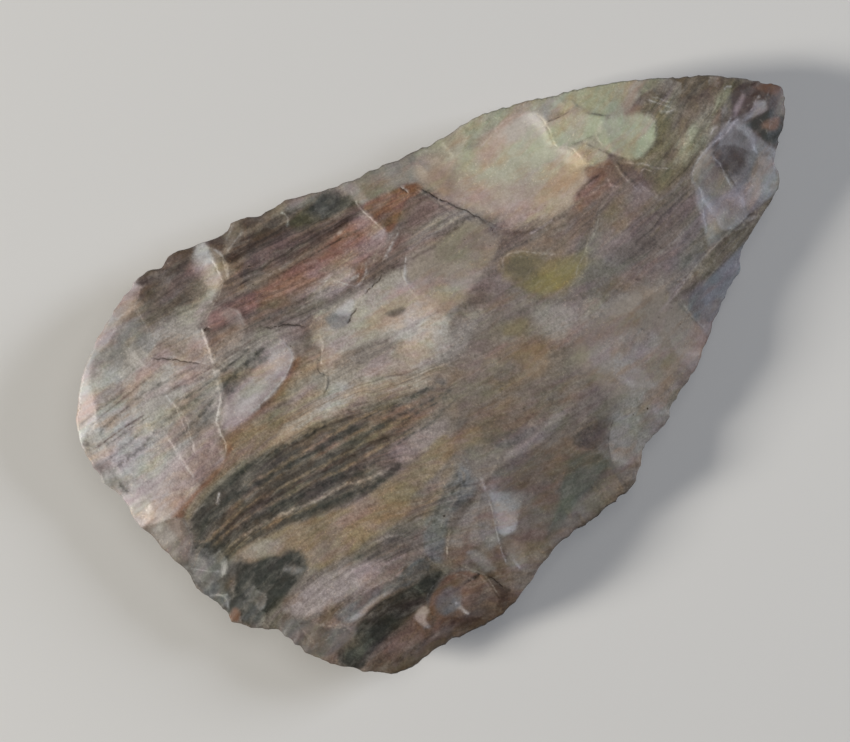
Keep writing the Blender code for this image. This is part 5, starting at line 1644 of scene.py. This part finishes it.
class PREFORM_OT_blade(bpy.types.Operator):
    """Knap the blade: both faces on one net that meets at the cutting edge"""
    bl_idname = "preform.blade"
    bl_label = "Knapped Blade"

    def execute(self, context):
        sizes = context.scene.preform_sizes
        colours = {key: tuple(getattr(context.scene.preform_colours, key)) for key, _, _ in PALETTE}
        plan = Plan(sizes, EDGE_SEED)
        upper = Face(plan, UPPER_FLAKES, True, sizes, UPPER_SEED)
        under = Face(plan, UNDER_FLAKES, False, sizes, UNDER_SEED)
        upper.add_crests(CRESTS)
        upper.add_cracks(CRACKS)
        upper.add_threads(LINES)
        upper.add_retouch(UPPER_RETOUCH_SEED)
        under.add_retouch(UNDER_RETOUCH_SEED)
        edge = plan.edge
        share, turn = plan.calm_share(edge[:, 0], edge[:, 1])
        rim_height = EDGE_LEVEL + edge_lift(turn, share)

        bm = bmesh.new()
        rim = [bm.verts.new((x, y, z)) for (x, y), z in zip(edge, rim_height)]
        plans = [edge]
        for face, step in ((upper, sizes.net_step), (under, sizes.under_step)):
            points, faces = face.net(step)
            heights = face.heights(points[:, 0], points[:, 1])
            levels = EDGE_LEVEL + heights if face.upward else np.maximum(EDGE_LEVEL - heights, BLADE_LOW.z)
            verts = rim + [bm.verts.new((x, y, z)) for (x, y), z in zip(points, levels)]
            for corners in faces:
                ring = [verts[i] for i in corners]
                bm.faces.new(ring if face.upward else ring[::-1]).smooth = True
            plans.append(points)
        for side in bm.edges:
            if side.is_manifold and side.calc_face_angle() > SHARP_TURN:
                side.smooth = False
        open_sides = sum(1 for side in bm.edges if not side.is_manifold)
        if open_sides:
            raise RuntimeError(f"the blade has {open_sides} open edges")
        mesh = bpy.data.meshes.new("knapped_blade")
        bm.to_mesh(mesh)
        bm.free()

        self.paint(mesh, plans, (upper, under), colours)
        mesh.materials.append(chert_material())
        blade = make_object("knapped_blade", mesh)
        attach(blade, "root")
        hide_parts("preform_blade")
        return {"FINISHED"}

    def paint(self, mesh, plans, faces, colours):
        """Store the colour of the stone with its painted highlights and shade, and its marks, on the points
        of the net.
        """
        first = len(plans[0])
        split = first + len(plans[1])
        plan = np.vstack(plans)
        u = (plan[:, 0] / BLADE_LENGTH + 0.5) * PER_LENGTH
        v = plan[:, 1] / BLADE_LENGTH * PER_LENGTH
        above, below = slice(0, split), slice(split, len(plan))
        stone = np.empty((len(plan), 4))
        stone[above] = paint_zones(u[above], v[above], ZONES, colours, ZONE_SEED)
        stone[below] = paint_zones(u[below], v[below], UNDER_ZONES, colours, UNDER_ZONE_SEED)
        for face, start in zip(faces, (first, split)):
            self.tint_retouch(stone[start:start + len(face.struck)], face, colours)
        paint_lines(u[above], v[above], stone[above], LINES, colours, LINE_SEED)
        marks = np.zeros((len(plan), 4))
        marks[:, 0] = bed_level(u, v) * THOUSANDTH * BLADE_LENGTH
        upper = faces[0]
        marks[above, 1] = upper.crest_heights(plan[above, 0], plan[above, 1])[1]
        marks[above, 2] = upper.crack_depths(plan[above, 0], plan[above, 1])
        # The colour holds painted highlights and shade; the marks' second channel is the hinge walls'
        # painted highlight
        for name, values in (("stone_colour", stone), ("stone_marks", marks)):
            layer = mesh.color_attributes.new(name, "FLOAT_COLOR", "POINT")
            layer.data.foreach_set("color", values.ravel())

    @staticmethod
    def tint_retouch(stone, face, colours):
        """Fresh small flakes along the edge cut other beds, so each is a little lighter or darker."""
        rng = random.Random(face.seed + TINT_DRAW)
        tones = [(rng.choice(RETOUCH_TONES), rng.uniform(0.0, RETOUCH_TINT)) for _ in face.retouch]
        for k, (colour, strength) in enumerate(tones):
            struck = face.struck == k
            stone[struck, :3] += (np.array(colours[colour]) - stone[struck, :3]) * strength


class PREFORM_OT_stage(bpy.types.Operator):
    """Lay the pale floor and set the lights and the camera"""
    bl_idname = "preform.stage"
    bl_label = "Stage"

    def execute(self, context):
        stage = context.scene.preform_stage
        bm = bmesh.new()
        bmesh.ops.create_grid(bm, x_segments=1, y_segments=1, size=stage.floor_size / 2.0)
        mesh = bpy.data.meshes.new("floor")
        bm.to_mesh(mesh)
        bm.free()
        mesh.materials.append(plain_material("floor_paint_matte", stage.floor_colour, FLOOR_ROUGHNESS))
        floor = make_object("floor", mesh)

        for name, (colour, turn, rise, away, size) in LAMPS.items():
            light = bpy.data.lights.new(name, "AREA")
            light.energy = getattr(stage, name + "_power")
            light.color = linear(colour)
            light.size = size
            lamp = make_object(name, light)
            a, e = math.radians(turn), math.radians(rise)
            way = Vector((math.cos(a) * math.cos(e), math.sin(a) * math.cos(e), math.sin(e)))
            lamp.location = way * away
            lamp.rotation_euler = way.to_track_quat("Z", "Y").to_euler()

        world = bpy.data.worlds.new("studio")
        world.use_nodes = True
        background = world.node_tree.nodes["Background"]
        background.inputs["Color"].default_value = (*linear(WORLD_COLOUR), 1.0)
        background.inputs["Strength"].default_value = WORLD_STRENGTH
        context.scene.world = world
        context.scene.view_settings.view_transform = "Standard"

        camera = bpy.data.cameras.new("camera")
        camera.lens = stage.lens
        camera.clip_start = NEAREST_VIEW
        viewer = make_object("camera", camera)
        away = stage.view_width * stage.lens / camera.sensor_width
        viewer.location = (*(share * BLADE_LENGTH for share in VIEW_MIDDLE), EDGE_LEVEL + away)
        viewer.rotation_euler = (0.0, 0.0, stage.camera_turn)
        context.scene.camera = viewer
        return {"FINISHED"}


class PREFORM_PT_panel(bpy.types.Panel):
    """Sizes, colours and the pieces of the blade"""
    bl_idname = "PREFORM_PT_panel"
    bl_label = "Preform Blade"
    bl_space_type = "VIEW_3D"
    bl_region_type = "UI"
    bl_category = "Preform Blade"

    def draw(self, context):
        layout = self.layout
        scene = context.scene
        for title, group in (("Surface", scene.preform_sizes), ("Stone", scene.preform_colours),
                             ("Stage", scene.preform_stage)):
            box = layout.box()
            box.label(text=title)
            for key in group.__annotations__:
                box.prop(group, key)
        for step in STEPS:
            layout.operator(step.bl_idname)


STEPS = (PREFORM_OT_blade, PREFORM_OT_stage)
GROUPS = (
    ("preform_sizes", BladeSizes),
    ("preform_colours", StoneColours),
    ("preform_stage", StageSettings),
)


def register():
    for name, group in GROUPS:
        bpy.utils.register_class(group)
        setattr(bpy.types.Scene, name, PointerProperty(type=group))
    for kind in (*STEPS, PREFORM_PT_panel):
        bpy.utils.register_class(kind)


def unregister():
    for kind in (PREFORM_PT_panel, *STEPS[::-1]):
        bpy.utils.unregister_class(kind)
    for name, group in GROUPS[::-1]:
        delattr(bpy.types.Scene, name)
        bpy.utils.unregister_class(group)


def main():
    """Make the blade and its stage."""
    register()
    bpy.ops.preform.blade()
    bpy.ops.preform.stage()
    bpy.context.view_layer.update()


if __name__ == "__main__":
    main()
